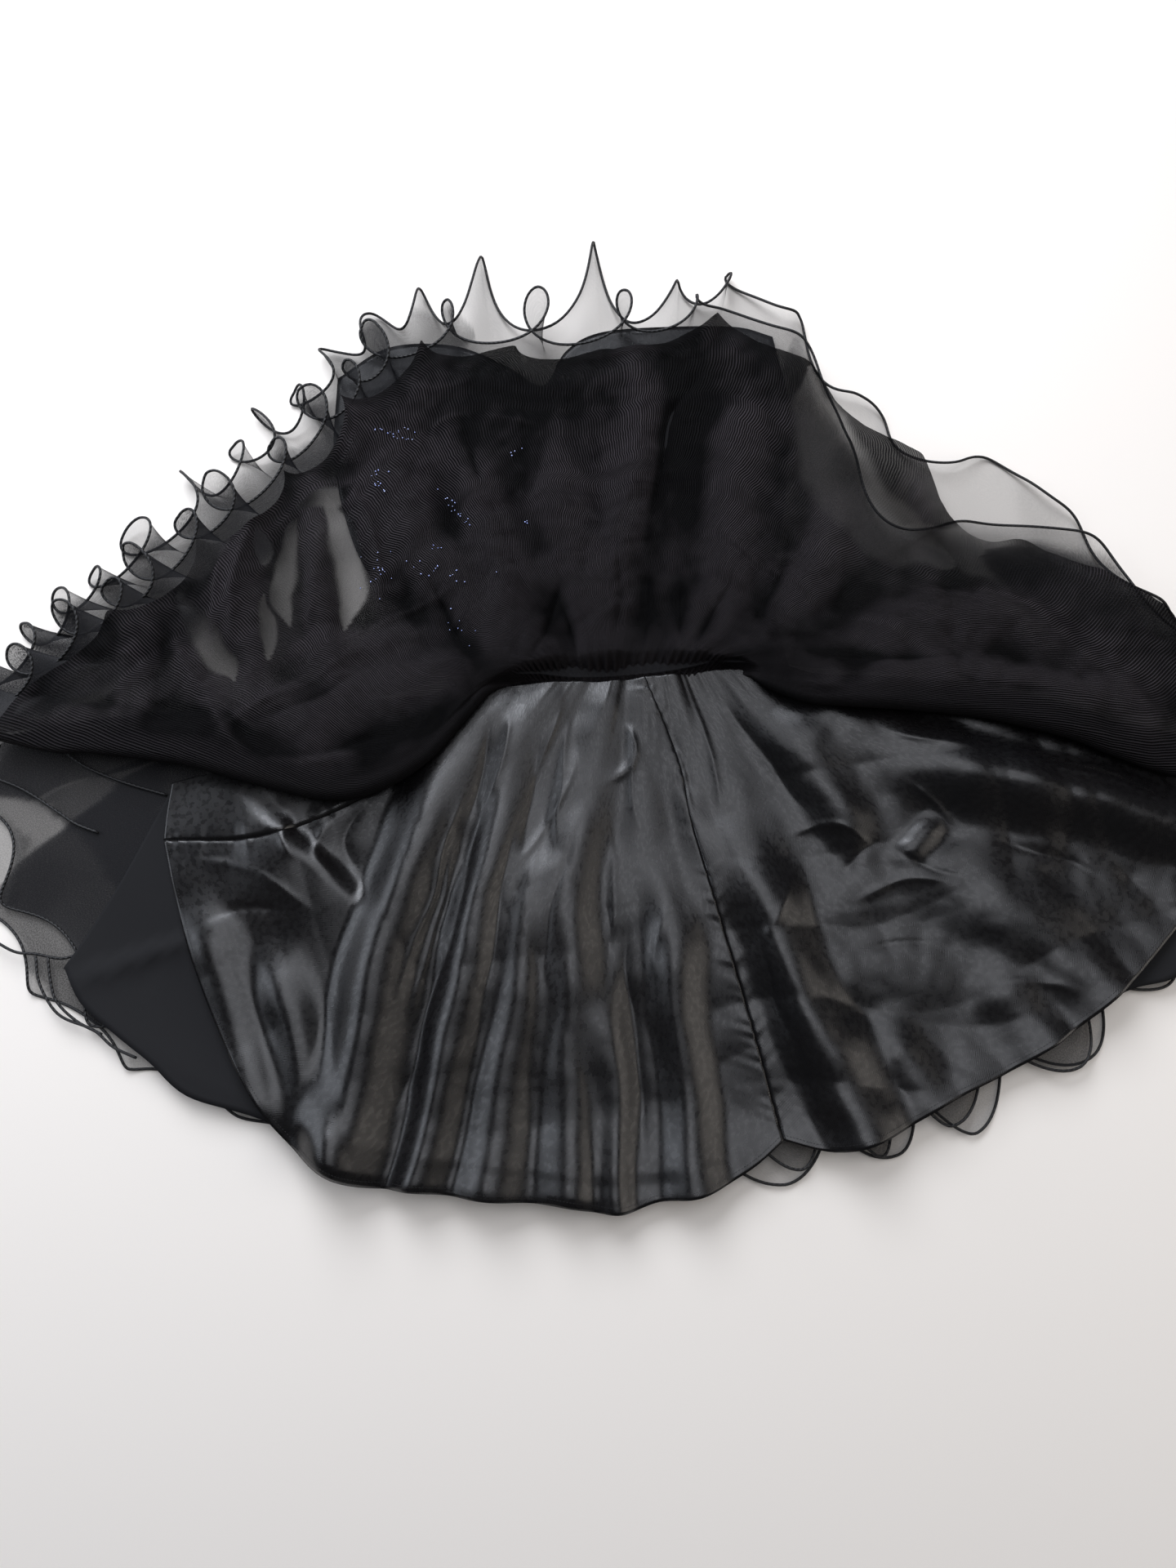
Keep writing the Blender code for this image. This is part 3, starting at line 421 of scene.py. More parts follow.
# Creased facets, which the satin has more of towards its right: height, size, seed
NET_CRUMPLES = ((3.4, 58.0, 43), (1.5, 24.0, 47))
NET_GRAIN = (0.8, 9.0, 53)
SATIN_CRUMPLES = ((2.1, 74.0, 11), (0.35, 31.0, 17))
FACETS_FROM = 60.0
FACETS_FADE = 120.0

# Ripples along the satin's seams: slant, stretch across the seam, size, seed, reach
PUCKER_RIPPLES = (0.6, 0.15, 5.5, 21, 12.0)
FLAP_RIPPLES = (0.0, 0.1, 6.0, 23, 9.0)
FLAP_SEAM_RUN = 320.0
FLAP_RIPPLE_HEIGHT = 0.9

# Grooves of the seams: depth, half width
PUCKER_GROOVE = (0.5, 1.4)
FLAP_GROOVE = (0.8, 1.8)

# Where the seam of the flap has come apart, left of a place
FLAP_OPEN_X = -316.0
FLAP_OPEN_FADE = 16.0
GORE_GAP = 0.15

# How far each cloth's edge lies from the waist line
BODICE_OVER_SEAM = 0.2
SATIN_UNDER_SEAM = 0.6
BACK_NET_UNDER_SEAM = 4

# Fineness of the cloths: columns and rows, or for fluted ones columns a wave and the widest
# column
BODICE_GRID = (80, 60)
SATIN_BACK_GRID = (180, 90)
GORE_ROWS = 170
ORGANZA_COLUMNS = (36, 5.0)
BACK_NET_ROWS = 50
FRONT_NET_ROWS = 52
CRINKLE_COLUMNS = (40, 3.0)
CRINKLE_ROWS = 158

# Share of the light that one ply of each sheer cloth stops
BACK_OUTER_COVER = 0.30
BACK_INNER_COVER = 0.46
FRONT_OUTER_COVER = 0.26
FRONT_MIDDLE_COVER = 0.36
TOP_COVER = 0.93
MOST_COVER = 0.995

# How cover varies: size of its patches, height of a pleat that stops all it can, and the least
# upward share of a normal that still counts
COVER_PATCH = 46.0
PLEAT_FULL = 7
STEEPEST = 0.22

# Fluted hems, a row for each wave. Each row: share of the hem where its crest stands,
# loop share, depth of the trough beside it, how far its tip passes the hem line, height
WAVES_FRONT_OUTER = (
    (0.010, 0.35, 16, 2, 10), (0.038, 0.52, 20, 2, 14), (0.071, 0.30, 34, 4, 16),
    (0.097, 0.50, 26, 6, 18), (0.121, 0.38, 18, 0, 16), (0.153, 0.60, 26, 10, 18),
    (0.196, 0.12, 40, 14, 20), (0.228, 0.46, 16, 4, 14), (0.252, 0.20, 34, 20, 18),
    (0.276, 0.48, 18, 0, 14), (0.306, 0.02, 30, 12, 16), (0.340, -0.04, 20, 8, 14),
    (0.372, 0.10, 32, 14, 20), (0.405, 0.12, 30, 46, 20), (0.477, 0.12, 40, 60, 24),
    (0.526, 0.10, 26, 10, 16), (0.556, 0.26, 14, 8, 12), (0.605, 0.06, 12, 2, 10),
    (0.680, 0.03, 8, 2, 9), (0.750, 0.03, 8, 2, 9), (0.820, 0.03, 8, 2, 9),
    (0.890, 0.06, 12, 2, 10), (0.965, 0.10, 12, 0, 8),
)
WAVES_FRONT_MIDDLE = (
    (0.024, 0.35, 18, 8, 9), (0.052, 0.45, 26, 16, 12), (0.086, 0.42, 22, 20, 14),
    (0.115, 0.50, 24, 6, 14), (0.138, 0.44, 30, 22, 16), (0.172, 0.46, 20, 8, 13),
    (0.200, 0.50, 28, 22, 14), (0.240, 0.35, 22, 4, 13), (0.275, 0.48, 26, 20, 16),
    (0.305, 0.30, 24, 6, 13), (0.330, 0.44, 26, 22, 14), (0.375, 0.25, 34, 12, 12),
    (0.428, 0.36, 30, 26, 14), (0.480, 0.30, 28, 16, 13), (0.525, 0.16, 18, 8, 10),
    (0.600, 0.05, 8, 2, 8), (0.680, 0.04, 6, 2, 8), (0.760, 0.04, 6, 2, 8),
    (0.840, 0.05, 8, 2, 8), (0.920, 0.10, 14, 2, 8), (0.975, 0.08, 12, 0, 6),
)
WAVES_FRONT_INNER = (
    (0.04, 0.02, 5, 0, 3), (0.10, 0.10, 8, 8, 5), (0.17, 0.12, 12, 14, 6),
    (0.24, 0.14, 12, 12, 7), (0.30, 0.14, 12, 14, 7), (0.36, 0.14, 14, 8, 8),
    (0.42, 0.14, 16, -6, 7), (0.48, 0.12, 12, -10, 7), (0.55, 0.14, 14, 4, 7),
    (0.62, 0.06, 8, 2, 6), (0.71, 0.06, 8, 6, 6), (0.80, 0.06, 8, 4, 6),
    (0.90, 0.06, 8, 0, 5), (0.97, 0.02, 4, 0, 3),
)
WAVES_BACK_OUTER = (
    (0.030, 0.06, 20, 0, 4), (0.090, 0.06, 14, 4, 5), (0.160, 0.08, 12, 8, 6),
    (0.230, 0.08, 12, 8, 6), (0.300, 0.06, 14, -4, 5), (0.370, 0.04, 14, -10, 5),
    (0.440, 0.04, 14, -10, 5), (0.520, 0.00, 20, -10, 5), (0.602, -0.10, 40, 4, 6),
    (0.664, -0.11, 44, 0, 7), (0.710, -0.05, 40, 8, 7), (0.786, -0.11, 50, 4, 7),
    (0.850, 0.00, 30, 0, 6), (0.920, 0.10, 20, 0, 6), (0.975, 0.10, 14, 0, 4),
)
WAVES_BACK_INNER = (
    (0.030, 0.06, 30, 0, 4), (0.100, 0.08, 30, 4, 5), (0.190, 0.06, 14, 16, 5),
    (0.260, 0.08, 16, 14, 5), (0.330, 0.06, 12, -4, 4), (0.400, 0.06, 12, -6, 4),
    (0.470, 0.04, 14, -6, 4), (0.540, 0.00, 20, -6, 4), (0.610, -0.08, 40, 16, 5),
    (0.656, -0.04, 44, 20, 6), (0.700, -0.06, 40, 14, 5), (0.779, -0.10, 44, 20, 6),
    (0.850, 0.00, 30, 4, 5), (0.930, 0.10, 16, 0, 4), (0.980, 0.10, 10, 0, 3),
)
FLUTE_DEPTH_FRONT = 92.0
FLUTE_DEPTH_INNER = 60.0
FLUTE_DEPTH_BACK = 80.0
FLUTE_FADE = 30.0

# Beads that show through the net. Each row: start x, y, end x, y, how many, how far they stray
BEADS = (
    (-246, 254, -206, 256, 12, 2), (-226, 244, -204, 246, 6, 1.5),
    (-238, 210, -232, 190, 14, 7), (-176, 192, -148, 154, 16, 3),
    (-246, 120, -226, 96, 16, 9), (-206, 112, -150, 96, 14, 5),
    (-186, 134, -178, 130, 4, 3), (-96, 162, -88, 160, 3, 2),
    (-172, 64, -146, 40, 8, 5), (-122, 104, -121, 103, 1, 0.5),
    (-110, 230, -100, 236, 4, 2),
)
BEAD_RISE = 1.2

# Share of a stitch's step that its thread fills
STITCH_SHARE = 0.62

# Table top, in metres: half its side, and how far it lies below the cloth
TABLE_HALF = 4.0
TABLE_DROP = 0.0003

# Light of the room. Each lamp: name, place, aim, both in metres, size, power, colour
ROOM_COLOUR = "#f4f6fa"
ROOM_LIGHT = 0.06
LAMPS = (
    ("ceiling", (0.22, 0.5, 2.6), (0.22, 0.4, 0.0), 1.9, 26.0, "#f6f8ff"),
    ("window", (-0.7, 1.8, 1.6), (0.0, 0.0, 0.0), 1.6, 64.0, "#f2f6ff"),
    ("side_window", (-1.9, 0.3, 0.9), (0.0, -0.1, 0.0), 1.3, 15.0, "#eef4ff"),
    ("warm_lamp", (1.9, -0.3, 0.9), (0.0, -0.1, 0.0), 1.2, 8.0, "#fff7ef"),
)

# Camera: lens and sensor, then its aim and place in the drawing
CAMERA_LENS = 27.5
CAMERA_SENSOR = 36.0
CAMERA_AIM = (-33.3, -96.6, 0.0)
CAMERA_PLACE = (-33.3, -295.6, 1128.6)


def curve(rows):
    """Closely spaced points on a smooth line through the rows."""
    p = np.array(rows, float)
    ends = np.vstack([2 * p[0] - p[1], p, 2 * p[-1] - p[-2]])
    t = np.linspace(0.0, 1.0, 10, endpoint=False)[:, None]
    parts = []
    for i in range(len(p) - 1):
        a, b, c, d = ends[i:i + 4]
        parts.append(
            0.5 * (2 * b + (c - a) * t + (2 * a - 5 * b + 4 * c - d) * t ** 2
                   + (3 * b - a - 3 * c + d) * t ** 3)
        )
    parts.append(p[-1:])
    return np.vstack(parts)


def lengths(line):
    """Share of the whole length at each point of a line, and the whole length."""
    step = np.hypot(*np.diff(line, axis=0).T)
    total = np.concatenate([[0.0], np.cumsum(step)])
    return total / total[-1], total[-1]


def along(line, share):
    """Points at the given shares of a line's length."""
    at, _ = lengths(line)
    share = np.asarray(share, float)
    return np.stack([np.interp(share, at, line[:, k]) for k in (0, 1)], axis=-1)


def normals(line, side):
    """Unit normals of a line, to its left for side 1 and to its right for side -1."""
    d = np.gradient(line, axis=0)
    d /= np.hypot(d[:, 0], d[:, 1])[:, None]
    return side * np.stack([-d[:, 1], d[:, 0]], axis=-1)


def closest(line, x, y):
    """For each row of places: the line's closest points, and the steps from them."""
    for px, py in zip(x, y):
        dx = px[:, None] - line[:, 0]
        dy = py[:, None] - line[:, 1]
        k = np.argmin(dx * dx + dy * dy, axis=-1)
        yield k, px - line[k, 0], py - line[k, 1]


def nearest(line, x, y, side):
    """Distance to a line, counted positive on the given side, and the share where it falls."""
    at, length = lengths(line)
    norm = normals(line, side)
    off = np.empty_like(x)
    share = np.empty_like(x)
    for row, (k, px, py) in enumerate(closest(line, x, y)):
        across = px * norm[k, 0] + py * norm[k, 1]
        sideways = px * norm[k, 1] - py * norm[k, 0]
        inner = (k > 0) & (k < len(line) - 1)
        far = np.where(inner, np.abs(across), np.hypot(px, py))
        off[row] = np.where(across >= 0, far, -far)
        share[row] = at[k] + np.where(inner, sideways * side, 0.0) / length
    return off, share


def smooth(t):
    """A soft step: nothing up to 0, one from 1 on."""
    t = np.clip(t, 0.0, 1.0)
    return t * t * (3 - 2 * t)


def higher(a, b, soft):
    """The higher of two heights, rounded where they meet."""
    return 0.5 * (a + b + np.sqrt((a - b) ** 2 + soft * soft))


def uneven(x, y, size, turn=0.0):
    """Soft irregular ripples between -1 and 1, about one size across."""
    a = x / size
    b = y / size
    one = np.sin(2.1 * a + 1.3 * np.sin(1.7 * b + turn) + turn)
    two = np.sin(1.9 * b + 1.6 * np.sin(1.3 * a - turn) + 2 * turn)
    three = np.sin(1.4 * (a + b) + 1.1 * np.sin(2.3 * (a - b) + turn) + 3 * turn)
    return (one + two + three) / 3


def bent_line(row):
    """Points on the short bent line that a fold's row names."""
    x0, y0, x1, y1, x2, y2 = row[:6]
    t = np.linspace(0.0, 1.0, 25)
    cx = 2 * x1 - 0.5 * (x0 + x2)
    cy = 2 * y1 - 0.5 * (y0 + y2)
    return np.stack(
        [(1 - t) ** 2 * x0 + 2 * t * (1 - t) * cx + t * t * x2,
         (1 - t) ** 2 * y0 + 2 * t * (1 - t) * cy + t * t * y2], axis=-1)


def beside(line, x, y):
    """Distance to the left of a short line, the share beside it, and how far past its ends."""
    at, length = lengths(line)
    norm = normals(line, 1)
    off = np.empty_like(x)
    share = np.empty_like(x)
    past = np.empty_like(x)
    for row, (k, px, py) in enumerate(closest(line, x, y)):
        off[row] = px * norm[k, 0] + py * norm[k, 1]
        ahead = (px * norm[k, 1] - py * norm[k, 0]) / length + at[k]
        share[row] = np.clip(ahead, 0, 1)
        past[row] = np.maximum(np.maximum(-ahead, ahead - 1), 0) * length
    return off, share, past


def wavered(x, y, way, size, turns):
    """Places shifted a little, so that what is drawn over them wavers as cloth does."""
    return tuple(at + way * uneven(x, y, size, turn) for at, turn in zip((x, y), turns))


def folds(table, x, y):
    """Height of soft ridges laid along short bent lines, a little wavy as cloth is."""
    total = np.zeros_like(x)
    wx, wy = wavered(x, y, *FOLD_WAVER)
    for row in table.values():
        height, left, right, first, last = row[6:]
        off, share, past = beside(bent_line(row), wx, wy)
        width = np.where(off > 0, left, right)
        profile = 0.5 + 0.5 * np.cos(np.pi * np.clip(np.abs(off) / width, 0, 1))
        rise = first + (1 - first) * smooth(share / FOLD_RISE_SHARE)
        fall = last + (1 - last) * smooth((1 - share) / FOLD_RISE_SHARE)
        total += height * profile * rise * fall * smooth(1 - past / FOLD_END)
    return total


def creases(table, x, y):
    """Height of narrow creases, sharp at the middle and fading at both ends."""
    total = np.zeros_like(x)
    wx, wy = wavered(x, y, *CREASE_WAVER)
    for row in table.values():
        height, left, right = row[6:]
        off, share, _ = beside(bent_line(row), wx, wy)
        width = np.where(off > 0, left, right)
        profile = np.exp(-np.sqrt((off / width * 2.2) ** 2 + 0.06) + 0.245)
        ends = smooth(share / CREASE_RISE_SHARE) * smooth((1 - share) / CREASE_RISE_SHARE)
        total += height * profile * ends
    return total


def leaves(table, x, y):
    """One inside each leaf-shaped place of a table, in turn, and the row's last figure."""
    wx, wy = wavered(x, y, *LEAF_WAVER)
    for row in table.values():
        off, share, past = beside(bent_line(row), wx, wy)
        width = row[6] * np.maximum(np.sin(np.pi * share), 0.02) ** 0.6
        yield smooth(2.5 * (1 - np.abs(off) / width)) * (past < 1), row[7]


def rumple(x, y, size, seed):
    """Irregular soft hills and hollows between -1 and 1, about one size apart."""
    across = 61
    table = np.random.default_rng(seed).uniform(-1, 1, (across, across))
    gx = x / size + 300.0
    gy = y / size + 300.0
    i = np.floor(gx).astype(int)
    j = np.floor(gy).astype(int)
    fx, fy = smooth(gx - i), smooth(gy - j)
    (a, b), (c, d) = (
        (table[i % across, row], table[(i + 1) % across, row])
        for row in (j % across, (j + 1) % across))
    return (a * (1 - fx) + b * fx) * (1 - fy) + (c * (1 - fx) + d * fx) * fy


def crumple(x, y, size, seed):
    """Short straight creases between rounded facets, from 0 to about 1."""
    chance = np.random.default_rng(seed)
    bend = 0.35 * rumple(x, y, size * 2.1, seed + 1)
    total = np.zeros_like(x)
    for turn in chance.uniform(0, math.pi, 5):
        t = (x * math.cos(turn) + y * math.sin(turn)) / size + bend + chance.uniform()
        patch_here = smooth(2.0 * rumple(x, y, size * 1.6, int(chance.integers(99))))
        total += patch_here * np.abs(np.sin(math.pi * t))
    return total / 1.6


def crumples(rows, x, y):
    """Creased facets of every size in the rows."""
    return sum(height * crumple(x, y, size, seed) for height, size, seed in rows)


def fanned(x, y, fan):
    """Places in a fan's own terms: how far round it, and how far from its middle."""
    middle_x, middle_y, way, radius = fan
    ahead = way * (y - middle_y)
    return np.arctan2(x - middle_x, ahead) * radius, np.hypot(x - middle_x, ahead)


def drawn_out(spread, far, row):
    """Rumples that are longer down the cloth than across it."""
    height, longer, size, seed = row
    return height * rumple(spread, far / longer, size, seed)


def inside_ring(ring, x, y):
    """Whether points lie inside a closed line of corners, and how far they are from it."""
    x0, y0 = ring[:-1, 0], ring[:-1, 1]
    x1, y1 = ring[1:, 0], ring[1:, 1]
    dx, dy = x1 - x0, y1 - y0
    rise = np.where(np.abs(dy) < 1e-9, 1e-9, dy)
    inner = np.empty(x.shape, bool)
    far = np.empty_like(x)
    for row in range(len(x)):
        px, py = x[row][:, None] - x0, y[row][:, None] - y0
        t = np.clip((px * dx + py * dy) / (dx * dx + dy * dy), 0, 1)
        far[row] = np.sqrt(np.min((px - t * dx) ** 2 + (py - t * dy) ** 2, axis=-1))
        crossing = ((y0 > y[row][:, None]) != (y1 > y[row][:, None])) & (px < dx * py / rise)
        inner[row] = np.sum(crossing, axis=-1) % 2 == 1
    return inner, far


def inside_bodice(x, y):
    """One over the bodice, falling to nothing a little way outside it."""
    ring = np.vstack([curve(BODICE_LEFT), curve(BODICE_TOP)[1:], curve(BODICE_RIGHT)[-2::-1]])
    ring = np.vstack([ring[::2], ring[:1]])
    inner, far = inside_ring(ring, x, y)
    return np.where(inner, 1.0, smooth(1 - (far - BODICE_EDGE) / BODICE_FADE))


class Hem:
    """A fluted hem line and the wave shapes along it."""

    def __init__(self, rows, waves, depth, side):
        self.line = curve(rows)
        self.side = side
        self.depth = depth
        self.length = lengths(self.line)[1]
        waves = np.array(waves, float)
        first = max(0.0, 0.5 - waves[0, 0] / (waves[1, 0] - waves[0, 0]))
        self.at = np.concatenate([[0.0], waves[:, 0], [1.0]])
        self.so_far = np.concatenate([[first], np.arange(len(waves)) + 0.5, [len(waves)]])
        self.shape = np.vstack([waves[:1, 1:], waves[:, 1:], waves[-1:, 1:]])

    def waves(self, share):
        return np.interp(share, self.at, self.so_far)

    def column(self, share, k):
        return np.interp(share, self.at, self.shape[:, k])

    def columns(self, per_wave, widest):
        """Shares of the hem where columns stand: so many a wave, and never too far apart."""
        parts = 2000
        share = np.linspace(0, 1, parts + 1)
        waves = per_wave * np.diff(self.waves(share))
        steps = np.maximum(waves, self.length / widest / parts)
        total = np.concatenate([[0.0], np.cumsum(steps)])
        count = int(round(total[-1]))
        return np.interp(np.linspace(0, total[-1], count + 1), total, share)

    def room(self, x, y):
        """Height that the flutes fill at a place."""
        off, share = nearest(self.line, x, y, self.side)
        fade = smooth(1 - (off - FLUTE_FADE) / FLUTE_FADE)
        return (self.column(share, 3) + 0.5) * self.growth(-off) * fade

    def growth(self, inward):
        return np.clip(1 - inward / self.depth, 0.0, 1.0) ** 2

    def flute(self, share, inward):
        """Shift along x and y and the lift of the waves."""
        wave = 2 * np.pi * self.waves(share)
        step = 0.004
        rate = (self.waves(share + step) - self.waves(share - step)) / (2 * step)
        wave_length = self.length / np.maximum(rate, 1.0)
        d = along(self.line, np.clip(share + step, 0, 1))
        d = d - along(self.line, np.clip(share - step, 0, 1))
        d /= np.maximum(np.hypot(d[..., 0], d[..., 1]), 1e-9)[..., None]
        out = self.side * np.stack([-d[..., 1], d[..., 0]], axis=-1)
        grow = self.growth(inward)
        loop, trough, tip, height = (self.column(share, k) for k in range(4))
        swing = loop * wave_length * np.sin(wave) * grow
        crest = (0.5 - 0.5 * np.cos(wave)) ** 1.3
        reach = (tip * crest - trough * (0.5 + 0.5 * np.cos(wave))) * grow
        shift = d * swing[..., None] + out * reach[..., None]
        lift = 0.5 * height * (1 + np.sin(wave)) * grow
        return shift[..., 0], shift[..., 1], lift


FRONT_OUTER = Hem(HEM_FRONT_OUTER, WAVES_FRONT_OUTER, FLUTE_DEPTH_FRONT, 1)
FRONT_MIDDLE = Hem(HEM_FRONT_MIDDLE, WAVES_FRONT_MIDDLE, FLUTE_DEPTH_FRONT, 1)
FRONT_INNER = Hem(HEM_FRONT_INNER, WAVES_FRONT_INNER, FLUTE_DEPTH_INNER, 1)
BACK_OUTER = Hem(HEM_BACK_OUTER, WAVES_BACK_OUTER, FLUTE_DEPTH_BACK, -1)
BACK_INNER = Hem(HEM_BACK_INNER, WAVES_BACK_INNER, FLUTE_DEPTH_BACK, -1)


def back_outer_height(x, y):
    return np.full_like(x, BACK_OUTER_Z)


def back_inner_height(x, y):
    return BACK_INNER_Z + BACK_OUTER.room(x, y)


def satin_back_height(x, y):
    return SATIN_BACK_Z + BACK_OUTER.room(x, y) + BACK_INNER.room(x, y)


def satin_front_height(x, y):
    return satin_back_height(x, y) + SATIN_FRONT_RISE + folds(SATIN_FOLDS, x, y)


def satin_below(x, y):
    """Height that clears the satin, and how far it reaches under the front net."""
    above = y - np.interp(x, *np.array(SIDE_LINE, float).T)
    away = smooth(np.hypot(np.maximum(np.abs(x) - WAIST_HELD, 0), y) / WAIST_HELD)
    clear = satin_back_height(x, y) + SATIN_FRONT_RISE + NET_OVER_SATIN + SATIN_CLEARANCE * away
    return clear, smooth(1 - (above - SIDE_REST) / SIDE_FADE)


def roll_radius(share):
    """Radius of a rolled side of the top net, at a share of its line."""
    return np.interp(share, *np.array(ROLL_RADIUS).T)


def return_height(x, y):
    """Middle of the rolled-under edge of the top net."""
    clear, under = satin_below(x, y)
    return under * clear + (1 - under) * FRONT_NET_Z


def front_net_height(x, y):
    """Middle of the lowest front net layer, without its flutes."""
    clear, under = satin_below(x, y)
    edge, _ = nearest(FRONT_OUTER.line, x, y, 1)
    drop = FRONT_OUTER.growth(-edge) * (1 - inside_bodice(x, y))
    base = higher(FRONT_NET_Z - FRONT_HEM_DROP * drop, under * clear, NET_REST_ROUND)
    roll = np.zeros_like(x)
    for rows, way in ((FOLD_LEFT, -1), (FOLD_RIGHT, 1)):
        off, share = nearest(curve(rows), x, y, way)
        near = smooth(1 - np.abs(off) / ROLL_BLEND)
        roll = np.maximum(roll, near * (2 * roll_radius(share) - ROLL_PRESSED))
    return base + roll


def middle_net_height(x, y):
    return front_net_height(x, y) + LAYER_STEP + FRONT_OUTER.room(x, y)


def top_net_height(x, y):
    """Middle of the top front net layer, with its folds."""
    edge, _ = nearest(FRONT_OUTER.line, x, y, 1)
    relief = folds(NET_FOLDS, x, y) * smooth(0.1 - edge / NET_FOLD_FADE)
    rise = 2 * LAYER_STEP + FRONT_OUTER.room(x, y) + FRONT_MIDDLE.room(x, y)
    return front_net_height(x, y) + rise + relief


def patch(root, hem, left, right, u, v, crowd=0.0):
    """Plan position of the points u across and v down a four-sided cloth."""
    r = along(root, u - crowd * np.sin(2 * np.pi * u) / (2 * np.pi))
    h = along(hem, u)
    a, b = along(left, v), along(right, v)
    u, v = np.asarray(u)[..., None], np.asarray(v)[..., None]
    plain = (1 - v) * r + v * h
    plain = plain + (1 - u) ** 3 * (a - ((1 - v) * left[0] + v * left[-1]))
    return plain + u ** 3 * (b - ((1 - v) * right[0] + v * right[-1]))


def fluted_points(hem, left, right, root_rows, u, down, height):
    """Plan, height, shares and side lines of a net layer with every wave of its hem."""
    left = curve(tuple(left) + (tuple(hem.line[0]),))
    right = curve(tuple(right) + (tuple(hem.line[-1]),))
    root = curve((tuple(left[0]),) + tuple(root_rows) + (tuple(right[0]),))
    crowd = ROOT_CROWD if hem.side > 0 else 0.0
    u, v = np.meshgrid(u, down)
    x, y = np.moveaxis(patch(root, hem.line, left, right, u, v, crowd), -1, 0)
    off, _ = nearest(hem.line, x, y, hem.side)
    sx, sy, lift = hem.flute(u, np.maximum(-off, 0.0))
    x, y = x + sx, y + sy
    return x, y, height(x, y) + lift, u, left, right


def pulled_in(line, side, amount):
    """A line moved to one side, by one amount or by an amount for each point."""
    amount = np.broadcast_to(np.asarray(amount, float), (len(line),))
    return line + normals(line, side) * amount[:, None]


def inset_fold(rows, side):
    """The side line of the top net, inside its roll."""
    line = curve(rows)
    share, _ = lengths(line)
    return [tuple(p) for p in pulled_in(line, side, roll_radius(share))[::6]]


def gathers(u, down):
    """Ridges of the waist gathers: broad ones that run far, and fine ones that soon end."""
    between = smooth((u * GATHER_COUNT - GATHERS_FROM) * 2)
    between = between * smooth((GATHERS_TO - u * GATHER_COUNT) * 2)
    turn = 2 * np.pi * GATHER_COUNT * u + 0.7 * np.sin(9.0 * u + 1.0)
    broad = (0.5 - 0.5 * np.cos(turn)) * smooth(1 - down / GATHER_SHARE)
    fine = 0.5 - 0.5 * np.cos(2 * np.pi * FINE_GATHERS * u)
    fine = fine * smooth(1 - down / FINE_GATHER_SHARE)
    return between * (GATHER_HEIGHT * broad + FINE_GATHER_HEIGHT * fine)


def net_relief(x, y):
    """Height of the top net's sharp creases, and of its soft rumples."""
    pressed = creases(NET_CREASES, x, y) + creases(STANDING_PLEATS, x, y)
    rumpled = drawn_out(*fanned(x, y, NET_FAN), NET_SWELL) + crumples(NET_CRUMPLES, x, y)
    height, size, seed = NET_GRAIN
    return pressed, rumpled + height * rumple(x, y, size, seed)


def rolled_side(x, y, z, line, side, down):
    """One side of the top net from its edge on: it rolls down and turns back under."""
    turn = np.radians(np.concatenate([np.linspace(ROLL_START, 180, ROLL_POINTS), [180, 180]]))
    back = np.concatenate([np.zeros(ROLL_POINTS), [0.5, 1.0]]) * ROLL_RETURN
    lost = RETURN_LOST * smooth((down - RETURN_FADES_FROM) / (1 - RETURN_FADES_FROM))
    back = back * (1 - lost)[:, None]
    out = normals(line, side)
    share, _ = lengths(line)
    n = np.stack([np.interp(down, share, out[:, k]) for k in (0, 1)], axis=-1)
    n /= np.hypot(n[:, 0], n[:, 1])[:, None]
    move = roll_radius(down)[:, None] * np.sin(turn) - back
    x = x[:, None] + n[:, :1] * move
    y = y[:, None] + n[:, 1:] * move
    mix = 0.5 - 0.5 * np.cos(turn)
    return x, y, (1 - mix) * z[:, None] + mix * return_height(x, y)


def painted_net_shade(x, y, relief, soft):
    """Painted shade of the top net: how light its colour is painted at each point, from 0 in its
    hollows to 1 on its ridges.
    """
    lift = relief + folds(NET_FOLDS, x, y) * SHADE_FOLDS
    lift = lift - SHADE_LEVEL * (SHADE_WAIST + (1 - SHADE_WAIST) * soft)
    return np.clip(SHADE_MIDDLE + lift / SHADE_RANGE, SHADE_LEAST, 1)


def rolled_net_points(columns, down):
    """The top net layer: its two sides roll down and under."""
    x, y, z, u, left, right = fluted_points(
        FRONT_INNER, inset_fold(FOLD_LEFT, -1), inset_fold(FOLD_RIGHT, 1), NET_WAIST,
        FRONT_INNER.columns(*columns), down, top_net_height)
    inner = smooth((np.minimum(u, 1 - u)) / NET_EDGE_SHARE)
    soft = smooth(down / NET_SOFT_SHARE)[:, None] * inner
    pressed, rumpled = net_relief(x, y)
    relief = gathers(u, down[:, None]) + inner * pressed + soft * rumpled
    tucked = smooth(down / TUCK_SHARE)[:, None]
    z = NET_ROOT_Z + (z + relief - NET_ROOT_Z) * tucked
    y = y - (1 - tucked) * (TUCK_BACK + TUCK_WAVER * np.sin(2 * np.pi * FINE_GATHERS * u))
    # shade is painted shade: the net's colour is painted darker in its hollows and lighter on
    # its ridges
    shade = painted_net_shade(x, y, relief, soft)
    left_side = rolled_side(x[:, 0], y[:, 0], z[:, 0], left, 1, down)
    right_side = rolled_side(x[:, -1], y[:, -1], z[:, -1], right, -1, down)
    x, y, z = (
        np.hstack([before[:, ::-1], middle, after])
        for before, middle, after in zip(left_side, (x, y, z), right_side))
    beyond = ROLL_POINTS + 2
    return x, y, z, np.pad(shade, ((0, 0), (beyond, beyond)), mode="edge")


def to_frame(x, y, z):
    """Points of the drawing, in metres in the frame."""
    return np.stack([(x + ORIGIN[0]) * MM, (y + ORIGIN[1]) * MM, z * MM], axis=-1)


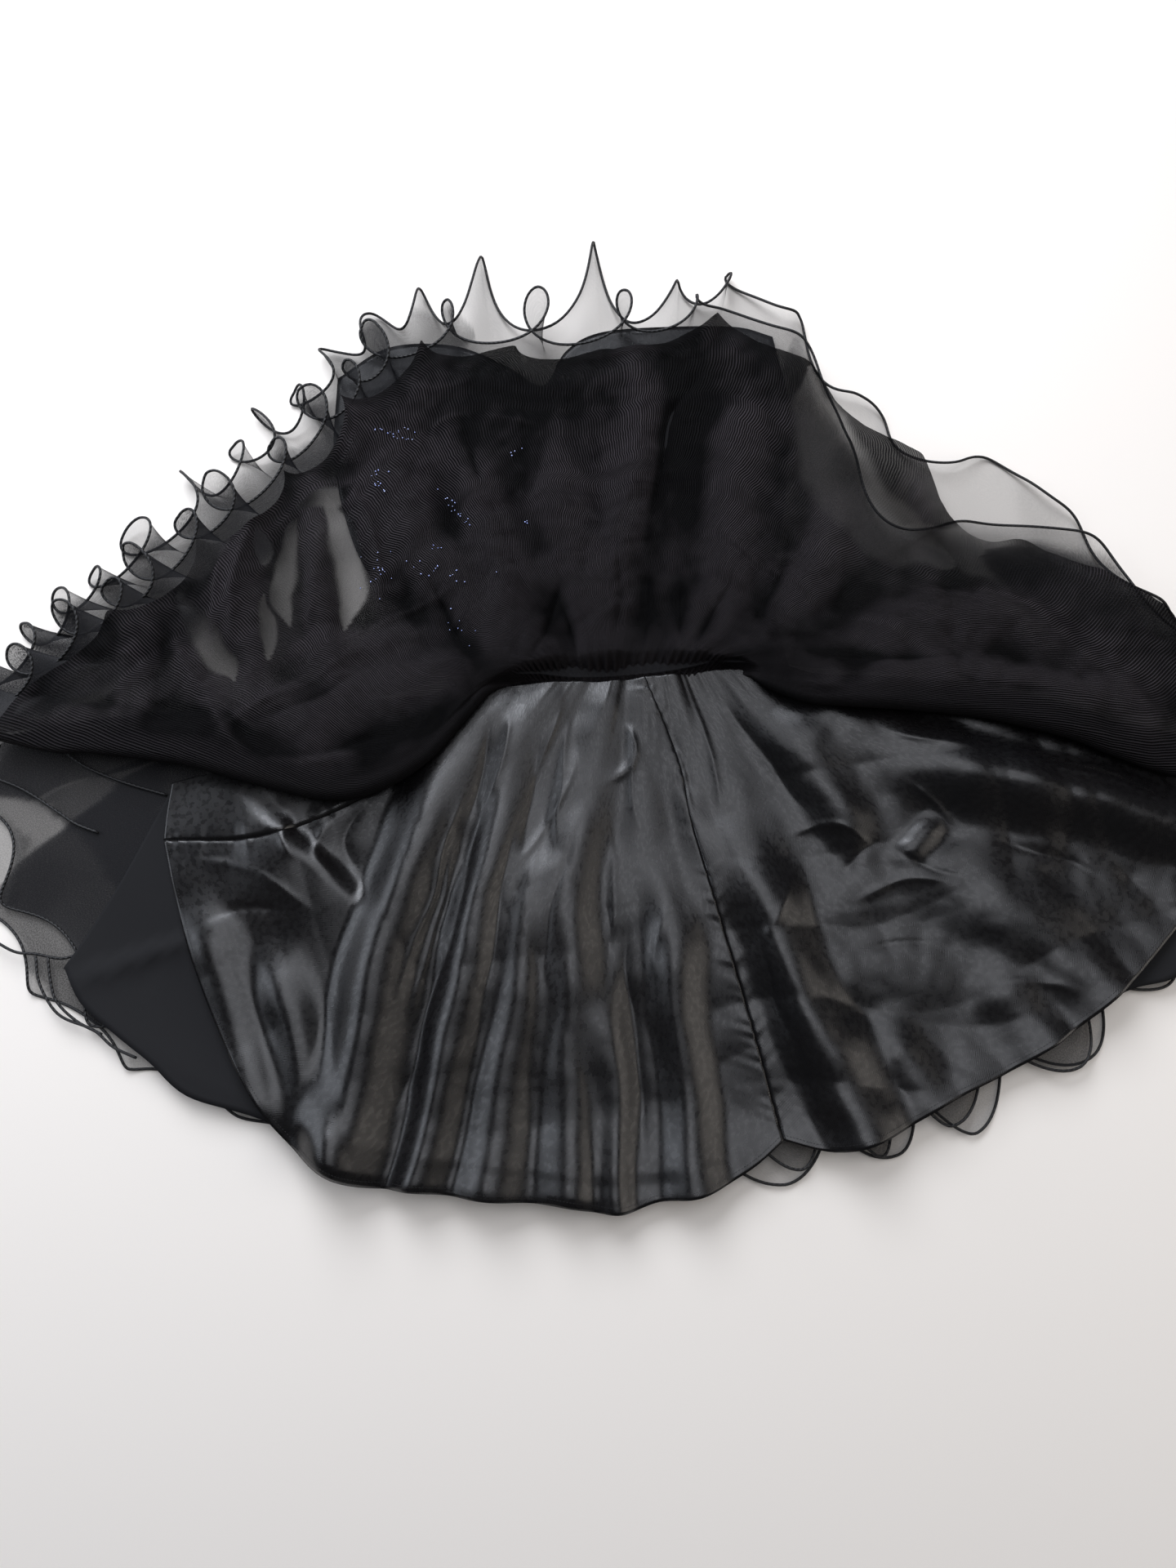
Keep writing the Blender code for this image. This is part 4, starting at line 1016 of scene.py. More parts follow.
def fill_grid(bm, points, u, v):
    """A grid of faces through rows of points, with a map; gives each vertex's row and column."""
    rows, columns = points.shape[:2]
    made = bmesh.ops.create_grid(bm, x_segments=columns - 1, y_segments=rows - 1, size=1.0)
    place = {}
    for vert in made["verts"]:
        i = round((vert.co.x + 1) / 2 * (columns - 1))
        j = round((vert.co.y + 1) / 2 * (rows - 1))
        place[vert] = (j, i)
    layer = bm.loops.layers.uv.new("cloth")
    for face in bm.faces:
        for loop in face.loops:
            spot = place[loop.vert]
            loop[layer].uv = (u[spot], v[spot])
    for vert, spot in place.items():
        vert.co = points[spot]
    return place


def cloth(name, points, wall=0.0, lift=None):
    """A sheet through a grid of points, with a map that is as long and wide as the cloth."""
    rows, columns = points.shape[:2]
    across = np.linalg.norm(np.diff(points, axis=1), axis=2)
    across = np.hstack([np.zeros((rows, 1)), np.cumsum(across, axis=1)])
    u = across / np.maximum(across[:, -1:], 1e-9) * across[:, -1].max()
    down = np.linalg.norm(np.diff(points, axis=0), axis=2)
    v = np.vstack([np.zeros((1, columns)), np.cumsum(down, axis=0)])
    v = v / v[-1:].clip(1e-9) * v[-1].mean()
    bm = bmesh.new()
    # The lift layer, where one is given, holds painted shade: how light the top net's colour is
    # painted at each point
    high = bm.verts.layers.float.new("lift")
    place = fill_grid(bm, points, u, v)
    if lift is not None:
        for vert, spot in place.items():
            vert[high] = lift[spot]
    bm.normal_update()
    if sum(face.normal.z * face.calc_area() for face in bm.faces) < 0:
        bmesh.ops.reverse_faces(bm, faces=bm.faces)
    return finished(name, bm, wall)


def finished(name, bm, wall=0.0):
    """An object from a bmesh, shaded smooth, with an even wall where one is given."""
    for face in bm.faces:
        face.smooth = True
    mesh = bpy.data.meshes.new(name)
    bm.to_mesh(mesh)
    bm.free()
    piece = bpy.data.objects.new(name, mesh)
    bpy.context.scene.collection.objects.link(piece)
    if wall:
        solidify = piece.modifiers.new("wall", "SOLIDIFY")
        solidify.thickness = wall
        solidify.offset = 0.0
        solidify.use_even_offset = False
    return piece


def set_density(piece, cover):
    """How much of the light each point of a sheer cloth stops, more where it stands steep."""
    mesh = piece.data
    spots = np.empty(len(mesh.vertices) * 3)
    mesh.vertices.foreach_get("co", spots)
    x, y, _ = spots.reshape(-1, 3).T / MM
    steep = np.abs([v.normal.z for v in mesh.vertices]).clip(STEEPEST, 1.0)
    share = np.clip(cover(x - ORIGIN[0], y - ORIGIN[1]), 0, MOST_COVER)
    layer = mesh.attributes.new("cover", "FLOAT", "POINT")
    layer.data.foreach_set("value", (1 - (1 - share) ** (1 / steep)).astype(np.float32))


def run_along(line):
    """Distance from a line's start to each of its points."""
    return np.concatenate([[0.0], np.cumsum(np.linalg.norm(np.diff(line, axis=0), axis=1))])


def cord(name, line, radius, sides=8):
    """A round cord along a line of points, closed at both ends."""
    ahead = np.gradient(line, axis=0)
    ahead /= np.linalg.norm(ahead, axis=1)[:, None]
    side = np.cross(ahead, (0.0, 0.0, 1.0))
    side /= np.linalg.norm(side, axis=1)[:, None]
    above = np.cross(side, ahead)
    turn = np.linspace(0.0, 2 * math.pi, sides + 1)[:, None, None]
    points = line + radius * (np.cos(turn) * side + np.sin(turn) * above)
    u, v = np.meshgrid(run_along(line), turn[:, 0, 0] * radius)
    bm = bmesh.new()
    fill_grid(bm, points, u, v)
    bmesh.ops.remove_doubles(bm, verts=bm.verts, dist=radius * 0.01)
    bmesh.ops.holes_fill(bm, edges=[e for e in bm.edges if e.is_boundary], sides=0)
    bmesh.ops.recalc_face_normals(bm, faces=bm.faces)
    return finished(name, bm)


def even_steps(line, step):
    """The same line with points an even step apart."""
    run = run_along(line)
    at = np.linspace(0.0, run[-1], max(2, int(run[-1] / step)))
    return np.stack([np.interp(at, run, line[:, k]) for k in range(3)], axis=-1)


def linear(hex_colour):
    """A hex sRGB colour as linear red, green and blue."""
    parts = [int(hex_colour[i:i + 2], 16) / 255 for i in (1, 3, 5)]
    return tuple(c / 12.92 if c <= 0.04045 else ((c + 0.055) / 1.055) ** 2.4 for c in parts)


def fill_sockets(tree, node, sockets):
    """Gives each socket of a node its value, or a link from another node's output."""
    for key, value in sockets.items():
        if isinstance(value, bpy.types.NodeSocket):
            tree.links.new(value, node.inputs[key])
        else:
            node.inputs[key].default_value = value


def add_node(tree, kind, sockets=None, **settings):
    """Adds a node with its settings and what its sockets take."""
    node = tree.nodes.new(kind)
    for key, value in settings.items():
        setattr(node, key, value)
    fill_sockets(tree, node, sockets or {})
    return node


def new_material(name):
    """An empty material with its surface shader."""
    material = bpy.data.materials.new(name)
    material.use_nodes = True
    return material, material.node_tree, material.node_tree.nodes["Principled BSDF"]


def object_place(tree):
    return add_node(tree, "ShaderNodeTexCoord").outputs["Object"]


def cloth_place(tree):
    return add_node(tree, "ShaderNodeUVMap", uv_map="cloth").outputs["UV"]


def point_value(tree, name):
    """What the mesh holds under a name at each point."""
    return add_node(tree, "ShaderNodeAttribute", attribute_name=name).outputs["Fac"]


def times(tree, first, second, **settings):
    """Product of two values."""
    sockets = {0: first, 1: second}
    return add_node(tree, "ShaderNodeMath", sockets, operation="MULTIPLY", **settings).outputs[0]


def between_colours(tree, share, first, second):
    """A colour on the way from one to another."""
    sockets = {0: share, 6: (*first, 1), 7: (*second, 1)}
    return add_node(tree, "ShaderNodeMix", sockets, data_type="RGBA").outputs[2]


def bumped(tree, height, strength, distance):
    """Normals that follow a height; the distance is in metres."""
    sockets = {"Height": height, "Strength": strength, "Distance": distance}
    return add_node(tree, "ShaderNodeBump", sockets).outputs["Normal"]


def stretched(tree, value, low, high, start=0.0, end=1.0):
    """A value between start and end, spread from low to high."""
    sockets = {
        "Value": value, "From Min": start, "From Max": end, "To Min": low, "To Max": high}
    return add_node(tree, "ShaderNodeMapRange", sockets).outputs[0]


def band_scale(spacing):
    """Scale of a wave texture whose bands are this many metres apart."""
    return 2 * math.pi / 20 / spacing


def polyester_satin(sizes, colours):
    """Polyester satin: long floats on its face give a dull, streaked lustre."""
    material, tree, shader = new_material("polyester_satin_face")
    # Painted reflection tint: the base colour is patched warmer and cooler, standing in for
    # brownish and bluish reflections
    patches = add_node(tree, "ShaderNodeTexNoise", {
        "Vector": object_place(tree), "Scale": 9.0, "Detail": 2.0})
    painted_reflection_tint = between_colours(
        tree, patches.outputs["Fac"], colours.satin_painted_warm_reflection, colours.satin_painted_cool_reflection)
    cloth_map = cloth_place(tree)
    floats = add_node(tree, "ShaderNodeTexWave", {
        "Vector": cloth_map, "Scale": band_scale(sizes.satin_float), "Distortion": 1.5,
        "Detail": 2.0}, bands_direction="DIAGONAL")
    slubs = add_node(tree, "ShaderNodeTexNoise", {
        "Vector": cloth_map, "Scale": 160.0, "Detail": 3.0}).outputs["Fac"]
    lift = times(tree, floats.outputs["Fac"], slubs)
    tangent = add_node(tree, "ShaderNodeTangent", direction_type="UV_MAP", uv_map="cloth")
    fill_sockets(tree, shader, {
        "Base Color": painted_reflection_tint, "Roughness": stretched(tree, slubs, 0.23, 0.34, 0.3, 0.7),
        "Normal": bumped(tree, lift, 0.25, 0.0003), "Tangent": tangent.outputs[0],
        "Anisotropic": 0.35, "Specular IOR Level": 0.55})
    return material


def satin_wrong_side(sizes, colours):
    """The wrong side of the satin: a matt plain weave without floats."""
    material, tree, shader = new_material("polyester_satin_wrong_side")
    weave = add_node(tree, "ShaderNodeTexWave", {
        "Vector": cloth_place(tree), "Scale": band_scale(sizes.satin_float),
        "Distortion": 1.0})
    fill_sockets(tree, shader, {
        "Base Color": (*colours.satin_wrong, 1), "Roughness": 0.75,
        "Normal": bumped(tree, weave.outputs["Fac"], 0.2, 0.0003),
        "Specular IOR Level": 0.2})
    return material


def organza(sizes, colours):
    """Nylon organza: stiff sheer plain weave, each thread slightly shiny."""
    material, tree, shader = new_material("nylon_organza")
    grain = add_node(tree, "ShaderNodeTexNoise", {
        "Vector": cloth_place(tree), "Scale": 1 / sizes.organza_grain, "Detail": 1.0})
    threads = stretched(tree, grain.outputs["Fac"], 0.82, 1.18, 0.35, 0.65)
    fill_sockets(tree, shader, {
        "Base Color": (*colours.organza, 1), "Roughness": 0.5,
        "Alpha": times(tree, point_value(tree, "cover"), threads, use_clamp=True),
        "Specular IOR Level": 0.15})
    return material


def crinkle_net(sizes, colours):
    """Crinkled nylon net: fine wobbly pleats set across the cloth, about 3 mm apart."""
    material, tree, shader = new_material("crinkled_nylon_net")
    slow = add_node(tree, "ShaderNodeMapping", {
        "Vector": cloth_place(tree), "Scale": (1.0, 0.22, 1.0)}).outputs[0]
    pleats = add_node(tree, "ShaderNodeTexWave", {
        "Vector": slow, "Scale": band_scale(sizes.crinkle), "Distortion": 3.2, "Detail": 2.0,
        "Detail Scale": 0.8}).outputs["Fac"]
    ribs = stretched(tree, pleats, 0.90, 1.06)
    lines = stretched(tree, pleats, 0.15, 1.5, 0.2, 0.8)
    # The colour is partly the net's pleat lines and partly painted shade and light: painted
    # darker in its hollows and lighter on its ridges, from the lift layer
    painted_light_share = times(tree, point_value(tree, "lift"), lines, use_clamp=True)
    fill_sockets(tree, shader, {
        "Base Color": between_colours(tree, painted_light_share, colours.painted_net_shade, colours.painted_net_light),
        "Roughness": 0.7, "Normal": bumped(tree, pleats, 1.0, 0.0022),
        "Alpha": times(tree, point_value(tree, "cover"), ribs, use_clamp=True),
        "Specular IOR Level": 0.08})
    return material


def corded_edge(sizes, colours):
    """Rolled hem over a nylon line, wrapped with polyester overlock thread."""
    material, tree, shader = new_material("overlocked_hem_cord")
    wraps = add_node(tree, "ShaderNodeTexWave", {
        "Vector": cloth_place(tree), "Scale": band_scale(sizes.cord_wrap),
        "Distortion": 0.6}, bands_direction="DIAGONAL")
    fill_sockets(tree, shader, {
        "Base Color": (*colours.cord, 1), "Roughness": 0.55,
        "Normal": bumped(tree, wraps.outputs["Fac"], 0.7, 0.0006)})
    return material


def sewing_thread(colours):
    """Polyester sewing thread: spun, faintly glossy."""
    material, tree, shader = new_material("spun_polyester_thread")
    fibres = add_node(tree, "ShaderNodeTexNoise", {
        "Vector": object_place(tree), "Scale": 2500.0})
    fill_sockets(tree, shader, {
        "Base Color": (*colours.thread, 1), "Roughness": 0.5,
        "Normal": bumped(tree, fibres.outputs["Fac"], 0.3, 0.0001)})
    return material


def cut_glass(colours):
    """Small faceted glass beads with a bluish coating."""
    material, tree, shader = new_material("coated_glass_bead")
    mixed = add_node(tree, "ShaderNodeTexNoise", {
        "Vector": object_place(tree), "Scale": 120.0})
    shade = between_colours(tree, mixed.outputs["Fac"], colours.bead_blue, colours.bead_pale)
    fill_sockets(tree, shader, {"Base Color": shade, "Metallic": 0.7, "Roughness": 0.12})
    return material


def white_table(colours):
    """A painted table top, white and faintly uneven."""
    material, tree, shader = new_material("white_painted_board")
    cast = add_node(tree, "ShaderNodeTexNoise", {
        "Vector": object_place(tree), "Scale": 1.2})
    fill_sockets(tree, shader, {
        "Base Color": (*colours.table, 1),
        "Roughness": stretched(tree, cast.outputs["Fac"], 0.55, 0.7)})
    return material


def colour_property(name, hex_colour, description):
    return bpy.props.FloatVectorProperty(
        name=name, description=description, subtype="COLOR", min=0.0, max=1.0,
        default=linear(hex_colour))


def size_property(name, millimetres, description):
    return bpy.props.FloatProperty(
        name=name, description=description, subtype="DISTANCE", unit="LENGTH", min=0.0,
        precision=4, default=millimetres * MM)


class DressSizes(bpy.types.PropertyGroup):
    """Sizes of the cloth and the sewing."""

    satin_wall: size_property("Satin thickness", 0.5, "Thickness of the satin")
    bodice_wall: size_property("Bodice thickness", 1.4, "Thickness of the lined bodice")
    cord_diameter: size_property("Hem cord", 2.7, "Diameter of the rolled, corded hem")
    cord_wrap: size_property("Cord wrap", 2.4, "Distance between wraps of the hem cord")
    hem_turning: size_property("Hem turning", 5.0, "Distance of the stitches from the edge")
    stitch: size_property("Stitch", 3.0, "Distance between stitches")
    thread: size_property("Thread", 0.45, "Diameter of the sewing thread")
    pucker: size_property("Pucker", 0.7, "Height of the ripples along the puckered seam")
    crinkle: size_property("Crinkle spacing", 3.2, "Distance between the net's fine pleats")
    satin_float: size_property("Satin float", 1.1, "Distance between the satin's floats")
    organza_grain: size_property("Organza grain", 1.3, "Grain, coarser than the threads")
    bead: size_property("Bead", 2.0, "Diameter of a bead")


class DressColours(bpy.types.PropertyGroup):
    """Colours of the cloth, the sewing and the table."""

    # Painted reflection tints of the satin: its patches are painted warmer and cooler, standing
    # in for reflections of the room and of the window
    satin_painted_warm_reflection: colour_property("Satin, warm", "#0e0b0b", "Satin in its warmer patches")
    satin_painted_cool_reflection: colour_property("Satin, cool", "#0a0b0d", "Satin in its cooler patches")
    satin_wrong: colour_property("Satin wrong side", "#1a1a1c", "Matt side of the satin")
    organza: colour_property("Organza", "#17171a", "Threads of the organza")
    # Painted shade and painted light of the crinkled net: its colour runs from the first in its
    # hollows and between pleats to the second on its ridges and pleats
    painted_net_shade: colour_property("Net, low", "#050506", "Crinkled net between its pleats")
    painted_net_light: colour_property("Net, high", "#3d393c", "Crinkled net on its pleats")
    cord: colour_property("Hem cord", "#0e0e10", "Corded hem")
    thread: colour_property("Thread", "#161618", "Sewing thread")
    bead_blue: colour_property("Bead, blue", "#6d86e8", "Bluer beads")
    bead_pale: colour_property("Bead, pale", "#dfe6ff", "Paler beads")
    table: colour_property("Table", "#fcf6ee", "Table top")


FINISHES = {}


def finish_of(kind, *facts):
    """The material made by that function, made once."""
    if kind not in FINISHES:
        FINISHES[kind] = kind(*facts)
    return FINISHES[kind]


def dress(piece, material, slot, *nodes):
    """Gives a piece its finish and ties it to the frame."""
    piece.data.materials.append(material)
    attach(piece, "root")
    if nodes:
        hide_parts(*nodes)


def shares(columns, rows):
    """Even shares across and down a cloth that has so many columns and rows of faces."""
    return np.meshgrid(np.linspace(0, 1, columns + 1), np.linspace(0, 1, rows + 1))


def plan(root, hem, left, right, columns, rows):
    """Plan position of the points of a plain cloth, its side lines drawn to its corners."""
    left[0], right[0] = root[0], root[-1]
    return np.moveaxis(patch(root, hem, left, right, *shares(columns, rows)), -1, 0)


def bodice_points(z):
    """Points of one half of the bodice."""
    x, y = plan(curve(WAIST) + np.array((0.0, BODICE_OVER_SEAM)), curve(BODICE_TOP),
                curve(BODICE_LEFT), curve(BODICE_RIGHT), *BODICE_GRID)
    return to_frame(x, y, z + 0.3 * uneven(x, y, 40.0))


def flap_open(x):
    """One where the seam of the flap at the left has come apart."""
    return smooth((FLAP_OPEN_X - x) / FLAP_OPEN_FADE)


def satin_gore_points(name):
    """Plan position of the points of one gore of the satin front."""
    waist = curve(WAIST) - np.array((0.0, SATIN_UNDER_SEAM))
    at, _ = lengths(waist)
    flap, pucker = curve(FLAP_SEAM), curve(PUCKER_SEAM)
    flap_share, pucker_share = (
        float(np.interp(seam[0, 0], waist[:, 0], at)) for seam in (flap, pucker))
    gores = {
        "satin_side_left": (0.0, flap_share, curve(SATIN_SIDE_LEFT), flap, HEM_SIDE_LEFT, 30),
        "satin_front_centre": (flap_share, pucker_share, flap, pucker, HEM_CENTRE, 260),
        "satin_front_right": (
            pucker_share, 1.0, pucker, curve(SATIN_SIDE_RIGHT), HEM_RIGHT, 200),
    }
    first, last, left, right, hem_rows, columns = gores[name]
    left, right = (
        pulled_in(seam, side, GORE_GAP * (flap_open(seam[:, 0]) if seam is flap else 1.0))
        for seam, side in ((left, 1), (right, -1)))
    hem = curve(hem_rows)
    hem[0], hem[-1] = left[-1], right[-1]
    root = along(waist, np.linspace(first, last, 40))
    root[0], root[-1] = left[0], right[0]
    return plan(root, hem, left, right, columns, GORE_ROWS)


def seam_ripples(line, length, x, y, row):
    """Ripples where a seam draws the cloth up, and the distance from the seam."""
    slant, across, size, seed, reach = row
    off, share = nearest(line, x, y, 1)
    ripple = rumple(share * length + slant * np.abs(off), off * across, size, seed)
    return np.exp(-np.abs(off) / reach) * ripple, off


def groove(off, row):
    """Depth of a seam's groove at a distance from it."""
    depth, half_width = row
    return depth * np.exp(-(off / half_width) ** 2)


def satin_relief(x, y, pucker_height):
    """Height of the satin front with its creases and the ripples along the puckered seam."""
    z = satin_front_height(x, y) + creases(SATIN_CREASES, x, y)
    spread, far = fanned(x, y, SATIN_FAN)
    z = z + SATIN_SWELL[0] + drawn_out(spread, far, SATIN_SWELL)
    z = z + drawn_out(spread, far, SATIN_RIPPLE)
    near_waist = smooth(1 - (far - WAIST_RUMPLE_FROM) / WAIST_RUMPLE_FADE)
    z = z + near_waist * drawn_out(spread, far, WAIST_RUMPLE)
    facets = 0.75 + 0.5 * smooth((x - FACETS_FROM) / FACETS_FADE)
    z = z + facets * crumples(SATIN_CRUMPLES, x, y)
    pucker = curve(PUCKER_SEAM)
    ripple, off = seam_ripples(pucker, lengths(pucker)[1], x, y, PUCKER_RIPPLES)
    z = z + pucker_height * ripple - groove(off, PUCKER_GROOVE)
    ripple, off = seam_ripples(curve(FLAP_SEAM), FLAP_SEAM_RUN, x, y, FLAP_RIPPLES)
    return z + FLAP_RIPPLE_HEIGHT * ripple - flap_open(x) * groove(off, FLAP_GROOVE)


def stitch_row(bm, line, step, radius):
    """Short stitches of thread along a line, a gap after each."""
    line = even_steps(line, step)
    for start, end in zip(line[:-1], line[1:]):
        made = bmesh.ops.create_cone(
            bm, cap_ends=True, segments=5, radius1=radius, radius2=radius,
            depth=step * STITCH_SHARE)
        way = Vector(end - start).normalized()
        turn = Vector((0, 0, 1)).rotation_difference(way).to_matrix()
        bmesh.ops.rotate(bm, verts=made["verts"], cent=(0, 0, 0), matrix=turn)
        bmesh.ops.translate(bm, verts=made["verts"], vec=Vector((start + end) / 2))


def hem_stitch_line(points, sizes):
    """The line of a hem's stitches: a row of the cloth, a hem's turning above its edge."""
    rows_up = 7
    drop = np.linalg.norm(points[-1] - points[-1 - rows_up], axis=1).mean() / rows_up
    line = points[-1 - max(1, round(sizes.hem_turning / drop))].copy()
    line[:, 2] += sizes.satin_wall / 2 + sizes.thread * 0.3
    return line


class DRESS_OT_bodice(bpy.types.Operator):
    """Makes the strapless bodice that lies under the net"""

    bl_idname = "dress.bodice"
    bl_label = "Bodice"

    def execute(self, context):
        sizes, colours = context.scene.dress_sizes, context.scene.dress_colours
        finish = finish_of(polyester_satin, sizes, colours)
        for name, z in (("bodice_back", BODICE_BACK_Z), ("bodice_front", BODICE_FRONT_Z)):
            piece = cloth(name + "_cloth", bodice_points(z), sizes.bodice_wall)
            dress(piece, finish, "bodice", name)
        return {"FINISHED"}


class DRESS_OT_satin_front(bpy.types.Operator):
    """Makes the three gores of the satin underskirt's front and their stitched hem"""

    bl_idname = "dress.satin_front"
    bl_label = "Satin front"

    def execute(self, context):
        sizes, colours = context.scene.dress_sizes, context.scene.dress_colours
        finish = finish_of(polyester_satin, sizes, colours)
        cuts = {
            "satin_side_left": (0.34, 0.13, 0.0175),
            "satin_front_centre": (0.66, 0.52, 0.195),
            "satin_front_right": (0.66, 0.56, 0.163),
        }
        bm = bmesh.new()
        gores = {}
        for name in cuts:
            x, y = satin_gore_points(name)
            points = to_frame(x, y, satin_relief(x, y, sizes.pucker / MM))
            gores[name] = cloth(name + "_cloth", points, sizes.satin_wall)
            dress(gores[name], finish, "satin", name)
            stitch_row(bm, hem_stitch_line(points, sizes), sizes.stitch, sizes.thread / 2)
        stitches = finished("hem_stitches", bm)
        dress(stitches, finish_of(sewing_thread, colours), "satin")
        return {"FINISHED"}


class DRESS_OT_satin_back(bpy.types.Operator):
    """Makes the satin back, which shows its matt wrong side"""

    bl_idname = "dress.satin_back"
    bl_label = "Satin back"

    def execute(self, context):
        sizes, colours = context.scene.dress_sizes, context.scene.dress_colours
        x, y = plan(curve(WAIST) - np.array((0.0, SATIN_UNDER_SEAM)), curve(HEM_SATIN_BACK),
                    curve(SATIN_BACK_LEFT), curve(SATIN_BACK_RIGHT), *SATIN_BACK_GRID)
        z = satin_back_height(x, y) + creases(BACK_CREASES, x, y) + 0.3 * uneven(x, y, 50.0)
        piece = cloth("satin_back_cloth", to_frame(x, y, z), sizes.satin_wall)
        dress(piece, finish_of(satin_wrong_side, sizes, colours), "satin_wrong_side",
              "satin_back")
        return {"FINISHED"}


def net_layer(name, points, finish, slot, cover, lift=None):
    """One layer of the overskirt, as sheer as its cover says."""
    # lift, where given, is painted shade for the layer's colour
    piece = cloth(name + "_cloth", points, 0.0, lift)
    set_density(piece, cover)
    dress(piece, finish, slot, name)
    return piece


def hem_cord(name, line, step, sizes, colours):
    """The cord in a hem of the organza."""
    hem = cord(name, even_steps(line, step), sizes.cord_diameter / 2)
    dress(hem, finish_of(corded_edge, sizes, colours), "organza")
    return hem


def organza_layer(name, hem, sides, root, rows, height, cover, sizes, colours):
    """A sheer layer of the overskirt, and the cord in its fluted hem."""
    x, y, z, *_ = fluted_points(
        hem, *sides, root, hem.columns(*ORGANZA_COLUMNS), towards_hem(rows), height)
    points = to_frame(x, y, z)
    piece = net_layer(name, points, finish_of(organza, sizes, colours), "organza",
                      lambda x, y: uneven_cover(x, y, cover))
    return piece, hem_cord(name + "_hem_cord", points[-1], HEM_CORD_STEP, sizes, colours)


def towards_hem(count, power=1.6):
    """Shares down the cloth, closer together near the hem."""
    return 1 - (1 - np.linspace(0, 1, count)) ** power


def uneven_cover(x, y, share):
    """Cover of a sheer layer, with doubled and creased places denser."""
    x, y = x[None, :], y[None, :]
    patches = smooth(1.6 * rumple(x, y, COVER_PATCH, 31))
    clear = (1 - share) * (1 - 0.3 * share * patches)
    for inside, more in leaves(DOUBLED_PLACES, x, y):
        clear = clear * (1 - inside * more)
    wx, wy = wavered(x, y, *PLACE_WAVER)
    for corners_of_place, more in FOLDED_PLACES:
        ring = np.array(corners_of_place + corners_of_place[:1], float)
        inner, far = inside_ring(ring, wx, wy)
        clear = clear * (1 - more * np.where(inner, smooth(far / 2.5), 0.0))
    return (1 - clear)[0]


def loose_hems(name, sizes, colours):
    """Cords in the hems that lie loose on the back layers."""
    hems = []
    for number, row in enumerate(LOOSE_HEMS, 1):
        x, y = curve(row).T[:, None]
        line = to_frame(x, y, back_inner_height(x, y) + LOOSE_HEM_RISE)[0]
        cord_name = f"{name}_loose_cord_{number}"
        hems.append(hem_cord(cord_name, line, LOOSE_CORD_STEP, sizes, colours))
    return hems


class DRESS_OT_back_net(bpy.types.Operator):
    """Makes the two organza layers of the overskirt that lie under the satin"""

    bl_idname = "dress.back_net"
    bl_label = "Back net"

    def execute(self, context):
        sizes, colours = context.scene.dress_sizes, context.scene.dress_colours
        sides = (NET_BACK_LEFT, NET_BACK_RIGHT)
        root = tuple((x, y - BACK_NET_UNDER_SEAM) for x, y in WAIST[1:-1])
        piece, hem = organza_layer(
            "overskirt_back_outer", BACK_OUTER, sides, root, BACK_NET_ROWS, back_outer_height,
            BACK_OUTER_COVER, sizes, colours)
        piece, hem = organza_layer(
            "overskirt_back_inner", BACK_INNER, sides, root, BACK_NET_ROWS, back_inner_height,
            BACK_INNER_COVER, sizes, colours)
        loose = loose_hems("overskirt_back_inner", sizes, colours)
        return {"FINISHED"}


def top_density(x, y):
    """Cover of the crinkled net: gathered and dense, but sheer in places."""
    x, y = x[None, :], y[None, :]
    share = np.full_like(x, TOP_COVER)
    for inside, left in leaves(SHEER_PLACES, x, y):
        share = share * (1 - inside * (1 - left))
    pleats = creases(STANDING_PLEATS, x, y) / PLEAT_FULL
    share = share + 0.8 * np.clip(pleats, 0, 1) * (1 - share)
    return share[0]


class DRESS_OT_front_net(bpy.types.Operator):
    """Makes the turned-up overskirt: two organza layers and the crinkled net on top"""

    bl_idname = "dress.front_net"
    bl_label = "Front net"

    def execute(self, context):
        sizes, colours = context.scene.dress_sizes, context.scene.dress_colours
        sides = (NET_SIDE_LEFT, NET_SIDE_RIGHT)
        piece, hem = organza_layer(
            "overskirt_front_outer", FRONT_OUTER, sides, NET_WAIST, FRONT_NET_ROWS,
            front_net_height, FRONT_OUTER_COVER, sizes, colours)
        piece, hem = organza_layer(
            "overskirt_front_middle", FRONT_MIDDLE, sides, NET_WAIST, FRONT_NET_ROWS,
            middle_net_height, FRONT_MIDDLE_COVER, sizes, colours)
        # lift is the top net's painted shade: darker in its hollows, lighter on its ridges
        x, y, z, lift = rolled_net_points(CRINKLE_COLUMNS, towards_hem(CRINKLE_ROWS, 1.0))
        piece = net_layer(
            "overskirt_front_inner", to_frame(x, y, z), finish_of(crinkle_net, sizes, colours),
            "crinkle_net", top_density, lift)
        beads = scattered_beads(sizes.bead / 2)
        dress(beads, finish_of(cut_glass, colours), "crinkle_net")
        return {"FINISHED"}


def scattered_beads(radius):
    """Beads in short broken lines, just above the top net."""
    bm = bmesh.new()
    chance = np.random.default_rng(7)
    for x0, y0, x1, y1, count, stray in BEADS:
        for k in range(count):
            share = (k + chance.uniform(0.2, 0.8)) / count
            x = np.array([[x0 + (x1 - x0) * share + chance.normal(0, stray)]])
            y = np.array([[y0 + (y1 - y0) * share + chance.normal(0, stray)]])
            z = top_net_height(x, y) + sum(net_relief(x, y)) + BEAD_RISE
            size = radius * chance.uniform(0.5, 1.0)
            made = bmesh.ops.create_icosphere(bm, subdivisions=1, radius=size)
            spot = to_frame(x, y, z)[0, 0]
            bmesh.ops.translate(bm, verts=made["verts"], vec=Vector(spot))
    return finished("bodice_beads", bm)


